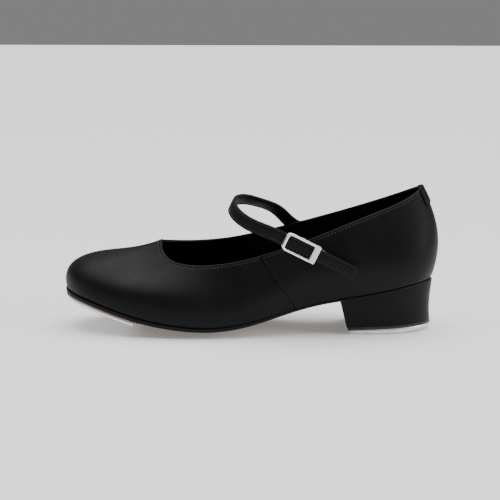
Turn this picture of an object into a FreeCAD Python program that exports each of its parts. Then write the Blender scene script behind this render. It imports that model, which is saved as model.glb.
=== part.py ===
import FreeCAD, Part
import math
import os

V = FreeCAD.Vector

# A lady's low-heeled tap shoe, left foot: X from toe (-) to heel (+), -Y lateral, +Y medial, +Z up, mm.
# The upper is one surface made of ribs, one for each place round the sole's edge (the feather line). Every
# piece of leather, lining or stiffener is a patch of that surface between two offsets. Sole pieces are plan
# outlines between two sheets of the sole's crowned surface.

# ---------------------------------------------------------------- driving dimensions
SHOE_LENGTH = 252.0        # over the upper, toe to heel
SHOE_WIDTH = 81.5          # across the ball, at the feather line
TOPLINE_HEIGHT = 98.0      # top of the heel's back above the floor
UPPER_THICKNESS = 1.2
LINING_THICKNESS = 0.8
STIFFENER_THICKNESS = 0.8
LASTING_MARGIN = 12.0      # leather turned in under the insole board
FEATHER_RADIUS = 2.4       # rounded corner where the upper turns under
BOARD_THICKNESS = 2.0
INSOCK_THICKNESS = 0.9
SOLE_THICKNESS = 2.8       # forepart
SEAT_THICKNESS = 1.4       # the sole's thin end, under the heel seat
SOLE_CROWN = 4.2           # rise of the sole from its centre line to CROWN_REACH
CROWN_REACH = 40.0
TAP_THICKNESS = 2.4
TAP_BOARD_THICKNESS = 0.8
TOE_TAP_END = -74.0        # rear edge of the toe tap, X
TAP_BOARD_LIP = 3.0        # board that shows behind the tap
HEEL_BREAST_SLANT = 6.0    # how far the heel's front face runs back by the floor
HEEL_COVER_THICKNESS = 0.8
HEEL_LIFT_THICKNESS = 1.8
HEEL_TAP_FRONT = 2.4       # the heel tap is a wedge
HEEL_TAP_BACK = 4.8
HEEL_TAP_FLAT = 0.62       # share of the heel tap's length that lies flat; the rest rises behind it
HEEL_TAP_RISE = 2.2
STRAP_WIDTH = 9.0
STRAP_PLY = 1.1            # each of the strap's two leathers
BUCKLE_LENGTH = 25.2
BUCKLE_WIDTH = 12.8
BUCKLE_PLATE = 1.4
RING_WIRE = 1.0
SCREW_HEAD = 5.2
SCREW_SHANK = 2.4
SCREW_SLOT = 0.7

SEAM_GAP = 0.05            # between pieces that are glued or stitched
RUN_GAP = 0.3              # between pieces that move past each other

# ---------------------------------------------------------------- shape of the last
DRAWN_LENGTH = 252.0
DRAWN_WIDTH = 81.5
DRAWN_TOP = 98.0
KX = SHOE_LENGTH / DRAWN_LENGTH
KY = SHOE_WIDTH / DRAWN_WIDTH
KZ = TOPLINE_HEIGHT / DRAWN_TOP
HEEL_BREAST = 59.8 * KX    # front face of the heel at its top, X
HEEL_LENGTH = 63.2 * KX
HEEL_WIDTH = 50.0 * KY

# Round the shoe: toe, lateral side, heel, medial side. Each rib leaves the feather point (x, y) leaning out
# by foot_lean, and meets the topline point (x, y, z) from below and outside by top_lean. The pulls say how
# far each end keeps its direction, and crown fills the middle out.
#            feather x, y | topline x, y, z | foot pull, lean | top pull, lean | crown
RIBS = [
    (-127.0, 4.0, -61.5, 1.0, 59.6, 23.0, 15.0, 29.0, 66.0, 3.8),
    (-121.0, -14.5, -60.3, -5.5, 54.5, 23.0, 13.0, 29.0, 66.0, 4.2),
    (-104.0, -28.5, -57.0, -11.5, 50.8, 18.0, 8.0, 30.0, 61.0, 4.6),
    (-74.0, -38.0, -49.5, -19.5, 48.2, 16.0, 8.0, 22.0, 52.0, 3.0),
    (-36.0, -41.0, -33.0, -26.0, 47.5, 14.0, 10.0, 16.0, 34.0, 1.0),
    (-2.0, -36.5, -13.0, -29.0, 50.0, 14.0, 14.0, 16.0, 24.0, 0.0),
    (30.0, -29.0, 6.0, -30.0, 54.6, 15.0, 20.0, 17.0, 16.0, 0.0),
    (60.0, -26.5, 36.0, -28.5, 64.7, 16.0, 22.0, 18.0, 14.0, 0.0),
    (90.0, -26.0, 74.0, -23.5, 79.5, 17.0, 23.0, 20.0, 14.0, 0.0),
    (113.4, -18.6, 103.0, -14.5, 90.5, 18.0, 22.0, 23.0, 20.0, 0.0),
    (122.8, 0.0, 115.5, 0.0, 98.0, 18.0, 20.0, 25.0, 28.0, 0.0),
    (113.4, 18.6, 103.0, 14.5, 92.0, 18.0, 22.0, 23.0, 20.0, 0.0),
    (90.0, 26.0, 74.0, 23.5, 81.0, 17.0, 23.0, 20.0, 14.0, 0.0),
    (60.0, 25.0, 36.0, 28.5, 69.2, 16.0, 24.0, 18.0, 14.0, 0.0),
    (30.0, 24.5, 6.0, 30.5, 61.2, 15.0, 25.0, 18.0, 16.0, 0.0),
    (-2.0, 31.5, -13.0, 30.0, 57.3, 14.0, 16.0, 18.0, 24.0, 0.0),
    (-36.0, 40.0, -33.0, 27.0, 55.6, 14.0, 10.0, 18.0, 34.0, 1.0),
    (-74.0, 40.5, -49.5, 20.5, 56.3, 16.0, 8.0, 21.0, 52.0, 2.5),
    (-104.0, 33.5, -57.0, 13.0, 57.8, 19.0, 8.0, 25.0, 61.0, 3.6),
    (-121.0, 21.0, -60.3, 7.5, 59.0, 23.0, 13.0, 27.0, 66.0, 4.0),
]
RIB_COUNT = len(RIBS)
TOE = 0
LATERAL_SEAM = 6
BACK_SEAM = 10
MEDIAL_SEAM = 14

# Height of the feather line's plane on the shoe's centre line, along X.
SOLE_LINE = [(-130.0, 27.6), (-112.0, 21.6), (-94.0, 15.2), (-76.0, 9.3), (-52.0, 4.4), (-28.0, 2.9),
             (-4.0, 6.2), (20.0, 13.3), (44.0, 19.5), (64.0, 23.1), (92.0, 28.3), (122.0, 35.4),
             (135.0, 37.6)]
# How far the sole's edge stands out past the feather line, along X.
SOLE_EDGE = [(-130.0, 0.8), (-90.0, 0.2), (-30.0, -0.6), (10.0, -2.2), (40.0, -2.8), (62.0, -1.0),
             (90.0, -0.4), (125.0, -0.4)]


def natural_spline(knots, scale_x=1.0):
    """A function y(x) through the knots, curving least."""
    xs = [x * scale_x for x, _ in knots]
    ys = [y for _, y in knots]
    n = len(xs)
    steps = [xs[i + 1] - xs[i] for i in range(n - 1)]
    diag = [1.0] * n
    rhs = [0.0] * n
    for i in range(1, n - 1):
        below = steps[i - 1] if i > 1 else 0.0
        slope = (ys[i + 1] - ys[i]) / steps[i] - (ys[i] - ys[i - 1]) / steps[i - 1]
        ratio = below / diag[i - 1]
        diag[i] = 2.0 * (steps[i - 1] + steps[i]) - ratio * steps[i - 1]
        rhs[i] = 6.0 * slope - ratio * rhs[i - 1]
    bend = [0.0] * n
    for i in range(n - 2, 0, -1):
        bend[i] = (rhs[i] - steps[i] * bend[i + 1]) / diag[i]

    def value(x):
        i = 0
        while i < n - 2 and x > xs[i + 1]:
            i += 1
        h = steps[i]
        left = xs[i + 1] - x
        right = x - xs[i]
        cubic = (bend[i] * left ** 3 + bend[i + 1] * right ** 3) / (6.0 * h)
        start = ys[i] / h - bend[i] * h / 6.0
        end = ys[i + 1] / h - bend[i + 1] * h / 6.0
        return cubic + start * left + end * right

    return value


def closed_spline(values):
    """A periodic function of u through values at u = 0, 1, 2 and so on."""
    n = len(values)
    bend = [0.0] * n
    for _ in range(60):
        for i in range(n):
            jump = 6.0 * (values[(i + 1) % n] - 2.0 * values[i] + values[i - 1])
            bend[i] = (jump - bend[i - 1] - bend[(i + 1) % n]) / 4.0

    def value(u):
        i = int(math.floor(u)) % n
        t = u - math.floor(u)
        s = 1.0 - t
        j = (i + 1) % n
        return s * values[i] + t * values[j] + ((s ** 3 - s) * bend[i] + (t ** 3 - t) * bend[j]) / 6.0

    return value


def smooth_step(x, start, end):
    t = min(max((x - start) / (end - start), 0.0), 1.0)
    return t * t * (3.0 - 2.0 * t)


WALL_REACH = 14.0          # a rib that reaches much further than this in plan lies over the foot
RIB_SCALES = (KX, KY, KX, KY, KZ, KZ, 1.0, KZ, 1.0, 1.0)
RIB_CURVES = [closed_spline([row[k] * RIB_SCALES[k] for row in RIBS]) for k in range(len(RIB_SCALES))]
sole_line = natural_spline(SOLE_LINE, KX)
sole_edge = natural_spline(SOLE_EDGE, KX)


def sole_height(x, y):
    """The plane that the upper is lasted on: curved along the shoe and crowned across it."""
    return sole_line(x) + SOLE_CROWN * (y / CROWN_REACH) ** 2


def feather(u):
    x = RIB_CURVES[0](u)
    y = RIB_CURVES[1](u)
    return V(x, y, sole_height(x, y))


def plan_normal(u):
    """Unit vector pointing out of the shoe, in plan."""
    step = 0.001
    run = feather(u + step) - feather(u - step)
    return V(run.y, -run.x, 0).normalize()


RIB_CACHE = {}


def rib_poles(u):
    """The five control points of the rib at u, from the feather point up to the topline."""
    key = round(u % RIB_COUNT, 6)
    if key in RIB_CACHE:
        return RIB_CACHE[key]
    row = [curve(u) for curve in RIB_CURVES]
    foot_pull, top_pull, crown = row[5], row[7], row[9]
    foot_lean = math.radians(row[6])
    top_lean = math.radians(row[8])
    n = plan_normal(u)
    foot = feather(u)
    top = V(row[2], row[3], row[4])
    across = V(foot.x - top.x, foot.y - top.y, 0)
    reach = across.dot(n)
    slant = (across - n * reach) * (1.0 / (top.z - foot.z))
    share = 1.0 - math.exp(-(reach / WALL_REACH) ** 2)
    foot_rise = foot_pull * math.cos(foot_lean)
    top_fall = top_pull * math.cos(top_lean)
    above_foot = foot + n * (foot_pull * math.sin(foot_lean)) + V(0, 0, foot_rise)
    above_foot = above_foot - slant * (foot_rise * (1.0 - share))
    way = n * (1.0 - share) + across * (share / max(across.Length, 0.001))
    way.normalize()
    below_top = top + way * (top_pull * math.sin(top_lean)) - V(0, 0, top_fall)
    below_top = below_top + slant * (top_fall * (1.0 - share))
    run = below_top - above_foot
    flat = max(math.hypot(run.x, run.y), 0.001)
    rise = V(-run.x / flat * run.z, -run.y / flat * run.z, flat).normalize()
    middle = (above_foot + below_top) * 0.5 + rise * crown
    RIB_CACHE[key] = (foot, above_foot, middle, below_top, top)
    return RIB_CACHE[key]


def rib_point(u, t):
    s = 1.0 - t
    weights = (s ** 4, 4 * s ** 3 * t, 6 * s * s * t * t, 4 * s * t ** 3, t ** 4)
    point = V(0, 0, 0)
    for weight, pole in zip(weights, rib_poles(u)):
        point = point + pole * weight
    return point


def outer(u, v):
    """Outside of the upper. v is -2..-1 under the board, -1..0 round the feather corner, 0..1 up the wall."""
    poles = rib_poles(u)
    corner_t = FEATHER_RADIUS / (4.0 * (poles[1] - poles[0]).Length)
    if v >= 0.0:
        return rib_point(u, corner_t + (1.0 - corner_t) * v)
    n = plan_normal(u)
    corner = poles[0]
    inset = FEATHER_RADIUS if v > -1.0 else FEATHER_RADIUS + (-1.0 - v) * (LASTING_MARGIN - FEATHER_RADIUS)
    under = corner - n * inset
    under.z = sole_height(under.x, under.y)
    if v <= -1.0:
        return under
    t = v + 1.0
    wall = rib_point(u, corner_t)
    return under * ((1 - t) ** 2) + corner * (2 * t * (1 - t)) + wall * (t * t)


SLOPE_STEP = 0.004         # half the distance between the two points that a direction is taken from
FRAME_CACHE = {}


def surface_frame(u, v):
    """Point, unit direction along u, unit direction along v and outward normal of the upper's outside."""
    key = (round(u, 6), round(v, 6))
    if key not in FRAME_CACHE:
        low = max(v - SLOPE_STEP, -2.0)
        high = min(v + SLOPE_STEP, 1.0)
        along = outer(u + SLOPE_STEP, v) - outer(u - SLOPE_STEP, v)
        up = outer(u, high) - outer(u, low)
        normal = along.cross(up).normalize()
        FRAME_CACHE[key] = (outer(u, v), along.normalize(), up.normalize(), normal)
    return FRAME_CACHE[key]


def offset(u, v, distance):
    """The point at a distance outside (+) or inside (-) the upper's outer surface."""
    point, _, _, normal = surface_frame(u, v)
    return point + normal * distance


def spread(start, end, count):
    return [start + (end - start) * i / (count - 1.0) for i in range(count)]


# ---------------------------------------------------------------- solids
def v_slopes(sheet, u, row, vs, spans):
    """The sheet's direction along v at each station, as long as the curve runs per unit of span."""
    slopes = []
    for j, v in enumerate(vs):
        low = max(v - SLOPE_STEP, vs[0])
        high = min(v + SLOPE_STEP, vs[-1])
        near = [k for k in (j - 1, j) if 0 <= k < len(spans)]
        run = sum((row[k + 1] - row[k]).Length for k in near)
        speed = run / sum(spans[k] for k in near)
        slopes.append((sheet(u, high) - sheet(u, low)).normalize() * speed)
    return slopes


def grid_surface(sheet, us, vs, spans):
    """The surface through the sheet at every (u, v), with the sheet's own direction along v there."""
    rows = []
    for u in us:
        row = [sheet(u, v) for v in vs]
        slopes = v_slopes(sheet, u, row, vs, spans)
        poles = [row[0]]
        for j, span in enumerate(spans):
            poles.append(row[j] + slopes[j] * (span / 3.0))
            poles.append(row[j + 1] - slopes[j + 1] * (span / 3.0))
        poles.append(row[-1])
        rows.append(poles)
    columns = []
    curve = Part.BSplineCurve()
    for k in range(len(rows[0])):
        curve.interpolate(Points=[poles[k] for poles in rows], Parameters=[float(i) for i in range(len(us))])
        columns.append(curve.getPoles())
    knots = [0.0]
    for span in spans:
        knots.append(knots[-1] + span)
    surface = Part.BSplineSurface()
    surface.buildFromPolesMultsKnots([list(poles) for poles in zip(*columns)], curve.getMultiplicities(),
                                     [4] + [2] * (len(spans) - 1) + [4], curve.getKnots(), knots,
                                     False, False, 3, 3)
    return surface


def closed_solid(faces):
    shell = Part.makeShell(faces)
    shell.sewShape()
    solid = Part.makeSolid(shell)
    if solid.Volume < 0:
        solid.reverse()
    return solid


def thick_patch(outside, inside, us, vs):
    """The solid between two sheets, each a function of (u, v), with ruled sides."""
    spans = []
    for low, high in zip(vs, vs[1:]):
        spans.append(sum((outside(u, high) - outside(u, low)).Length for u in us) / len(us))
    sheets = [grid_surface(sheet, us, vs, spans) for sheet in (outside, inside)]
    faces = [sheet.toShape() for sheet in sheets]
    u0, u1, v0, v1 = sheets[0].bounds()
    w0, w1, t0, t1 = sheets[1].bounds()
    for a, b in ((u0, w0), (u1, w1)):
        faces.append(sheets[0].uIso(a).makeRuledSurface(sheets[1].uIso(b)).toShape())
    for a, b in ((v0, t0), (v1, t1)):
        faces.append(sheets[0].vIso(a).makeRuledSurface(sheets[1].vIso(b)).toShape())
    return closed_solid(faces)


def leather(u0, u1, vs, outside, inside, count):
    """A piece of the upper between two offsets, each a number or a function of (u, v)."""
    def at(depth):
        if callable(depth):
            return lambda u, v: offset(u, v, depth(u, v))
        return lambda u, v: offset(u, v, depth)
    return thick_patch(at(outside), at(inside), spread(u0, u1, count), vs)


def sheet_between(low, high):
    """A slab over the whole plan between two heights, each a function of (x, y)."""
    reach_x = SHOE_LENGTH / 2 + 6.0
    reach_y = SHOE_WIDTH / 2 + 8.0
    xs = spread(-reach_x, reach_x, 30)
    ys = spread(-reach_y, reach_y, 7)
    return thick_patch(lambda x, y: V(x, y, high(x, y)), lambda x, y: V(x, y, low(x, y)), xs, ys)


PRISM_LOW = -5.0
PRISM_HEIGHT = 60.0


def prism(wire):
    """A plan outline drawn up through every layer of the bottom."""
    face = Part.Face(wire)
    face.translate(V(0, 0, PRISM_LOW))
    return face.extrude(V(0, 0, PRISM_HEIGHT))


def feather_outline(inset, count=44):
    """Closed plan curve at a distance inside the feather line; inset may be a function of x."""
    points = []
    for i in range(count):
        u = RIB_COUNT * i / float(count)
        point = feather(u)
        depth = inset(point.x) if callable(inset) else inset
        point = point - plan_normal(u) * depth
        points.append(V(point.x, point.y, 0))
    curve = Part.BSplineCurve()
    curve.interpolate(Points=points, PeriodicFlag=True)
    return Part.Wire([curve.toShape()])


def box_between(x0, x1, y0, y1, z0, z1):
    return Part.makeBox(x1 - x0, y1 - y0, z1 - z0, V(x0, y0, z0))


def sole_sheet(depth):
    """A height function: the lasting plane moved up by depth (down if negative)."""
    return lambda x, y: sole_height(x, y) + depth


# ---------------------------------------------------------------- the upper
LASTED = [-2.0, -1.0, -0.5] + spread(0.0, 1.0, 10)
SEAM_STEP = 0.0015         # half a seam's gap, in ribs


PUFF_REACH = 2.9           # ribs to each side of the toe, and share of the wall's height
PUFF_TOP = 0.56
COUNTER_REACH = 2.1        # the same from the back seam
COUNTER_TOP = 0.72
STIFFENER_GAP = 3 * SEAM_GAP


def lined(u, v):
    """Share of the full stiffener thickness at a place: toe puff and heel counter, skived at their edges."""
    from_toe = min(u % RIB_COUNT, RIB_COUNT - u % RIB_COUNT)
    from_back = abs(u % RIB_COUNT - BACK_SEAM)
    puff = smooth_step(from_toe, PUFF_REACH + 0.7, PUFF_REACH - 0.5)
    puff *= smooth_step(v, PUFF_TOP + 0.16, PUFF_TOP - 0.11)
    counter = smooth_step(from_back, COUNTER_REACH + 0.6, COUNTER_REACH - 0.4)
    counter *= smooth_step(v, COUNTER_TOP + 0.14, COUNTER_TOP - 0.1)
    return max(puff, counter)


def lining_outside(u, v):
    return -(UPPER_THICKNESS + SEAM_GAP + lined(u, v) * (STIFFENER_THICKNESS + STIFFENER_GAP))


def lining_inside(u, v):
    return lining_outside(u, v) - LINING_THICKNESS


def stiffener_inside(u, v):
    return -(UPPER_THICKNESS + SEAM_GAP + lined(u, v) * STIFFENER_THICKNESS)


BACK_TAB_HALF = 0.42       # the tab over the back seam: ribs to each side, and where it starts up the wall
BACK_TAB_START = 0.86
BACK_TAB_FACE = 0.95


def make_upper():
    vamp_end = RIB_COUNT + LATERAL_SEAM - SEAM_STEP
    pieces = {}
    pieces["vamp"] = leather(MEDIAL_SEAM + SEAM_STEP, vamp_end, LASTED, 0.0, -UPPER_THICKNESS, 37)
    pieces["quarter_lateral"] = leather(
        LATERAL_SEAM + SEAM_STEP, BACK_SEAM - SEAM_STEP, LASTED, 0.0, -UPPER_THICKNESS, 19)
    pieces["quarter_medial"] = leather(
        BACK_SEAM + SEAM_STEP, MEDIAL_SEAM - SEAM_STEP, LASTED, 0.0, -UPPER_THICKNESS, 19)
    pieces["back_tab"] = leather(BACK_SEAM - BACK_TAB_HALF, BACK_SEAM + BACK_TAB_HALF,
                                 spread(BACK_TAB_START, 1.0, 4), BACK_TAB_FACE, SEAM_GAP, 9)
    return pieces


LINING_START = 0.085       # v where the linings begin, above the insole board
STIFFENER_START = 0.10


def make_linings():
    pieces = {}
    heights = spread(LINING_START, 1.0, 13)
    vamp_end = RIB_COUNT + LATERAL_SEAM - SEAM_STEP
    pieces["vamp_lining"] = leather(
        MEDIAL_SEAM + SEAM_STEP, vamp_end, heights, lining_outside, lining_inside, 49)
    pieces["quarter_lining_lateral"] = leather(
        LATERAL_SEAM + SEAM_STEP, BACK_SEAM - SEAM_STEP, heights, lining_outside, lining_inside, 23)
    pieces["quarter_lining_medial"] = leather(
        BACK_SEAM + SEAM_STEP, MEDIAL_SEAM - SEAM_STEP, heights, lining_outside, lining_inside, 23)
    face = -(UPPER_THICKNESS + SEAM_GAP)
    pieces["toe_puff"] = leather(TOE - PUFF_REACH, TOE + PUFF_REACH, spread(STIFFENER_START, PUFF_TOP, 7),
                                 face, stiffener_inside, 25)
    pieces["heel_counter"] = leather(BACK_SEAM - COUNTER_REACH, BACK_SEAM + COUNTER_REACH,
                                     spread(STIFFENER_START, COUNTER_TOP, 7), face, stiffener_inside, 21)
    return pieces


# ---------------------------------------------------------------- the bottom
def sole_thickness(x):
    return SOLE_THICKNESS + (SEAT_THICKNESS - SOLE_THICKNESS) * smooth_step(x, 5.0 * KX, 60.0 * KX)


def sole_bottom(x, y):
    return sole_height(x, y) - sole_thickness(x) - SEAM_GAP


def below_sole(depth):
    return lambda x, y: sole_bottom(x, y) - depth


TOE_TAP_LINE = TOE_TAP_END * KX
FILLER_END = 6.0 * KX
SHANK_START = 8.0 * KX
SHANK_END = 96.0 * KX
SHANK_WIDTH = 12.0
STEEPEST = 1.09            # height of a layer over its thickness where the sole slopes most
BOARD_BOTTOM = UPPER_THICKNESS * STEEPEST + SEAM_GAP
BOARD_TOP = BOARD_BOTTOM + BOARD_THICKNESS
BOARD_INSET = FEATHER_RADIUS + 0.3
INSOCK_INSET = FEATHER_RADIUS + 1.1
WIDE = SHOE_WIDTH
TAP_BOW = 5.0              # the toe tap's rear edge is bowed forward in the middle
TAP_INSET = 0.3            # of the tap's edge from the sole's


def toe_region(end):
    """Everything in front of X = end, with the rear edge bowed forward in the middle."""
    corners = [V(end, WIDE, 0), V(-SHOE_LENGTH, WIDE, 0), V(-SHOE_LENGTH, -WIDE, 0), V(end, -WIDE, 0)]
    edges = [Part.makeLine(a, b) for a, b in zip(corners, corners[1:])]
    edges.append(Part.Arc(corners[3], V(end - TAP_BOW, 0, 0), corners[0]).toShape())
    return prism(Part.Wire(edges))


def make_bottom():
    pieces = {}
    pieces["insole_board"] = prism(feather_outline(BOARD_INSET)).common(
        sheet_between(sole_sheet(BOARD_BOTTOM), sole_sheet(BOARD_TOP)))
    pieces["insock"] = prism(feather_outline(INSOCK_INSET)).common(
        sheet_between(sole_sheet(BOARD_TOP + SEAM_GAP), sole_sheet(BOARD_TOP + SEAM_GAP + INSOCK_THICKNESS)))
    cavity = prism(feather_outline(LASTING_MARGIN + RUN_GAP))
    filling = sheet_between(sole_sheet(0.0), sole_sheet(UPPER_THICKNESS))
    fore = box_between(-SHOE_LENGTH, FILLER_END, -WIDE, WIDE, PRISM_LOW, PRISM_HEIGHT)
    pieces["bottom_filler"] = cavity.common(fore).common(filling)
    half = SHANK_WIDTH / 2
    strip = box_between(SHANK_START, SHANK_END, -half, half, PRISM_LOW, PRISM_HEIGHT)
    pieces["shank"] = strip.common(filling)
    outline = feather_outline(lambda x: -sole_edge(x))
    pieces["outsole"] = prism(outline).common(sheet_between(sole_bottom, sole_sheet(-SEAM_GAP)))
    tap_outline = prism(feather_outline(lambda x: TAP_INSET - sole_edge(x)))
    pieces["toe_tap_board"] = tap_outline.common(toe_region(TOE_TAP_LINE + TAP_BOARD_LIP)).common(
        sheet_between(below_sole(TAP_BOARD_THICKNESS), below_sole(SEAM_GAP)))
    top = TAP_BOARD_THICKNESS + SEAM_GAP
    pieces["toe_tap"] = tap_outline.common(toe_region(TOE_TAP_LINE)).common(
        sheet_between(below_sole(top + TAP_THICKNESS), below_sole(top)))
    return pieces


# ---------------------------------------------------------------- the heel
HEEL_LEVELS = (-6.0, 4.0, 12.0, 20.0, 30.0, 44.0)
HEEL_WAIST = 1.2           # how far the heel's back draws in at mid height
HEEL_TAPER = 0.6           # how much narrower each side is at the floor
HEEL_TURN = 0.40           # share of the length where the straight sides end
HEEL_ROUNDNESS = 2.05
TAP_BEVEL = 1.4
FLOOR = 0.0


def heel_wire(z, inset):
    """The heel's outline at a height: straight breast, round back, a little narrower at mid height."""
    front = HEEL_BREAST + HEEL_BREAST_SLANT * (1.0 - z / 24.0) + inset
    back = HEEL_BREAST + HEEL_LENGTH - inset - HEEL_WAIST * math.sin(math.pi * min(max(z / 30.0, 0.0), 1.0))
    half = HEEL_WIDTH / 2 - inset - HEEL_TAPER * (1.0 - min(max(z / 24.0, 0.0), 1.0))
    turn = HEEL_BREAST + HEEL_TURN * HEEL_LENGTH
    points = [V(front, -half, z), V((front + turn) / 2, -half, z)]
    for angle in spread(-90.0, 90.0, 15):
        c = max(math.cos(math.radians(angle)), 0.0)
        s = math.sin(math.radians(angle))
        x = turn + (back - turn) * c ** (2.0 / HEEL_ROUNDNESS)
        y = half * math.copysign(abs(s) ** (2.0 / HEEL_ROUNDNESS), s)
        points.append(V(x, y, z))
    points += [V((front + turn) / 2, half, z), V(front, half, z)]
    curve = Part.BSplineCurve()
    curve.interpolate(Points=points)
    return Part.Wire([curve.toShape(), Part.makeLine(points[-1], points[0])])


def heel_solid(inset):
    return Part.makeLoft([heel_wire(z, inset) for z in HEEL_LEVELS], True, False)


def tap_top(x, y):
    """Upper face of the wedge-shaped heel tap."""
    share = (x - HEEL_BREAST) / HEEL_LENGTH
    return HEEL_TAP_FRONT + (HEEL_TAP_BACK - HEEL_TAP_FRONT) * share


def lift_top(x, y):
    return tap_top(x, y) + SEAM_GAP + HEEL_LIFT_THICKNESS


def make_heel():
    under_seat = below_sole(SEAM_GAP)
    between = sheet_between(lambda x, y: lift_top(x, y) + SEAM_GAP, under_seat)
    pieces = {}
    core = heel_solid(HEEL_COVER_THICKNESS)
    pieces["heel_cover"] = heel_solid(0.0).cut(core).common(between)
    pieces["heel_block"] = heel_solid(HEEL_COVER_THICKNESS + SEAM_GAP).common(between)
    pieces["heel_lift"] = heel_solid(0.3).common(
        sheet_between(lambda x, y: tap_top(x, y) + SEAM_GAP, lift_top))
    bottom = heel_wire(FLOOR, TAP_BEVEL)
    middle = heel_wire(1.4, 0.1)
    upper = heel_wire(9.0, 0.1)
    body = Part.makeLoft([bottom, middle, upper], True, True)
    flat_end = HEEL_BREAST + HEEL_TAP_FLAT * HEEL_LENGTH
    rear = HEEL_BREAST + HEEL_LENGTH
    corners = [V(flat_end, -WIDE, FLOOR), V(rear, -WIDE, FLOOR + HEEL_TAP_RISE), V(rear, -WIDE, PRISM_LOW),
               V(flat_end, -WIDE, PRISM_LOW), V(flat_end, -WIDE, FLOOR)]
    relief = Part.Face(Part.makePolygon(corners)).extrude(V(0, 2 * WIDE, 0))
    pieces["heel_tap"] = body.common(sheet_between(lambda x, y: PRISM_LOW, tap_top)).cut(relief)
    return pieces


# ---------------------------------------------------------------- screws
def screw(head_centre, out, length, grow=0.0):
    """A countersunk slotted screw with its flat head at head_centre, pointing away from out."""
    into = out * -1.0
    radius = SCREW_HEAD / 2 + grow
    shank = SCREW_SHANK / 2 + grow
    depth = radius - shank
    start = head_centre + out * (SCREW_SLOT if grow else 0.0)
    if grow:
        head = Part.makeCylinder(radius, SCREW_SLOT, start, into)
        head = head.fuse(Part.makeCone(radius, shank, depth, head_centre, into))
    else:
        head = Part.makeCone(radius, shank, depth, head_centre, into)
    body = head.fuse(Part.makeCylinder(shank, length + grow, head_centre, into))
    if grow:
        return body
    corner = V(-SCREW_SLOT / 2, -SCREW_HEAD / 2 - 0.5, -SCREW_SLOT)
    slot = Part.makeBox(SCREW_SLOT, SCREW_HEAD + 1, SCREW_SLOT, corner)
    turn = FreeCAD.Rotation(V(0, 0, 1), out)
    slot.Placement = FreeCAD.Placement(head_centre, turn)
    return body.cut(slot)


def toe_screw_places():
    """Head centres and outward directions for the toe tap's three screws."""
    depth = TAP_BOARD_THICKNESS + SEAM_GAP + TAP_THICKNESS + SEAM_GAP
    low = below_sole(depth)
    places = []
    for x, y in ((-112.0 * KX, 3.0 * KY), (-88.0 * KX, -22.0 * KY), (-88.0 * KX, 25.0 * KY)):
        slope_x = (low(x + 0.5, y) - low(x - 0.5, y))
        slope_y = (low(x, y + 0.5) - low(x, y - 0.5))
        out = V(slope_x, slope_y, -1).normalize()
        places.append((V(x, y, low(x, y)) - out * 0.25, out))
    return places


def heel_screw_places():
    turn = HEEL_BREAST + 0.22 * HEEL_LENGTH
    rear = HEEL_BREAST + 0.52 * HEEL_LENGTH
    side = HEEL_WIDTH * 0.30
    down = V(0, 0, -1)
    return [(V(x, y, FLOOR + 0.25), down) for x, y in ((turn, -side), (turn, side), (rear, 0.0))]


TOE_SCREW_LENGTH = TAP_THICKNESS + TAP_BOARD_THICKNESS + 0.6 * SOLE_THICKNESS
HEEL_SCREW_LENGTH = HEEL_TAP_BACK + HEEL_LIFT_THICKNESS + 7.0
SCREW_FIT = 0.05


def fasten(pieces):
    """Add the tap screws, and cut their holes in everything that they pass through."""
    toe_stack = ("toe_tap", "toe_tap_board", "outsole")
    heel_stack = ("heel_tap", "heel_lift", "heel_block")
    groups = (("toe_tap_screws", toe_screw_places(), TOE_SCREW_LENGTH, toe_stack),
              ("heel_tap_screws", heel_screw_places(), HEEL_SCREW_LENGTH, heel_stack))
    for name, places, length, drilled in groups:
        pieces[name] = Part.Compound([screw(centre, out, length) for centre, out in places])
        for other in drilled:
            for centre, out in places:
                pieces[other] = pieces[other].cut(screw(centre, out, length, SCREW_FIT))


# ---------------------------------------------------------------- the strap
HINGE_U = 13.10            # where the strap leaves its patch on the medial quarter
HINGE_V = 0.90
STRAP_LIFT = RUN_GAP + STRAP_PLY
# Middle of the strap from the medial side round over the instep, with the way that its upper edge points.
STRAP_ROUTE = [
    ((18.5, 29.0, 75.0), (0.55, -0.45, 0.70)),
    ((5.0, 20.5, 82.5), (0.30, -0.70, 0.66)),
    ((-6.0, 9.5, 86.5), (0.32, -0.55, 0.77)),
    ((-12.8, -4.5, 86.0), (0.42, -0.20, 0.88)),
    ((-10.8, -17.5, 81.8), (0.45, -0.10, 0.88)),
    ((-1.5, -28.5, 76.3), (0.44, -0.14, 0.88)),
]
STRAP_WAY = V(0.899, 0.0, -0.438).normalize()
STRAP_UP = V(0.438, 0.0, 0.899).normalize()
STRAIGHT_BEFORE = 18.0     # straight strap in front of the buckle's middle
TAIL = 40.2                # and behind it
STRAIGHT = (-STRAIGHT_BEFORE, -9.0, 0.0, 9.0, 18.0, 28.0, TAIL)
STRAP_CLEAR = 5.57         # from the widest part of the quarter beside the straight strap to its middle


def wall_at(point, u, v):
    """The place (u, v) on the upper's outside with the point's X and Z, found from a start near by."""
    for _ in range(12):
        here = outer(u, v)
        du = (outer(u + 0.01, v) - here) * 100.0
        dv = (outer(u, v + 0.01) - here) * 100.0
        dx = point.x - here.x
        dz = point.z - here.z
        det = du.x * dv.z - dv.x * du.z
        u += (dx * dv.z - dv.x * dz) / det
        v += (du.x * dz - dx * du.z) / det
        v = min(max(v, 0.05), 0.98)
    return u, v


def lateral_wall(point):
    """The lateral quarter's outside beside a point."""
    return outer(*wall_at(point, LATERAL_SEAM + 1.0, 0.8))


def buckle_centre():
    """Middle of the buckle on the strap, far enough out for the straight strap to clear the quarter."""
    middle = V(33.2 * KX, 0, 62.0 * KZ)
    widest = min(lateral_wall(middle + STRAP_WAY * along).y for along in STRAIGHT)
    return V(middle.x, widest - STRAP_CLEAR, middle.z)


BUCKLE_CENTRE = buckle_centre()


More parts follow.
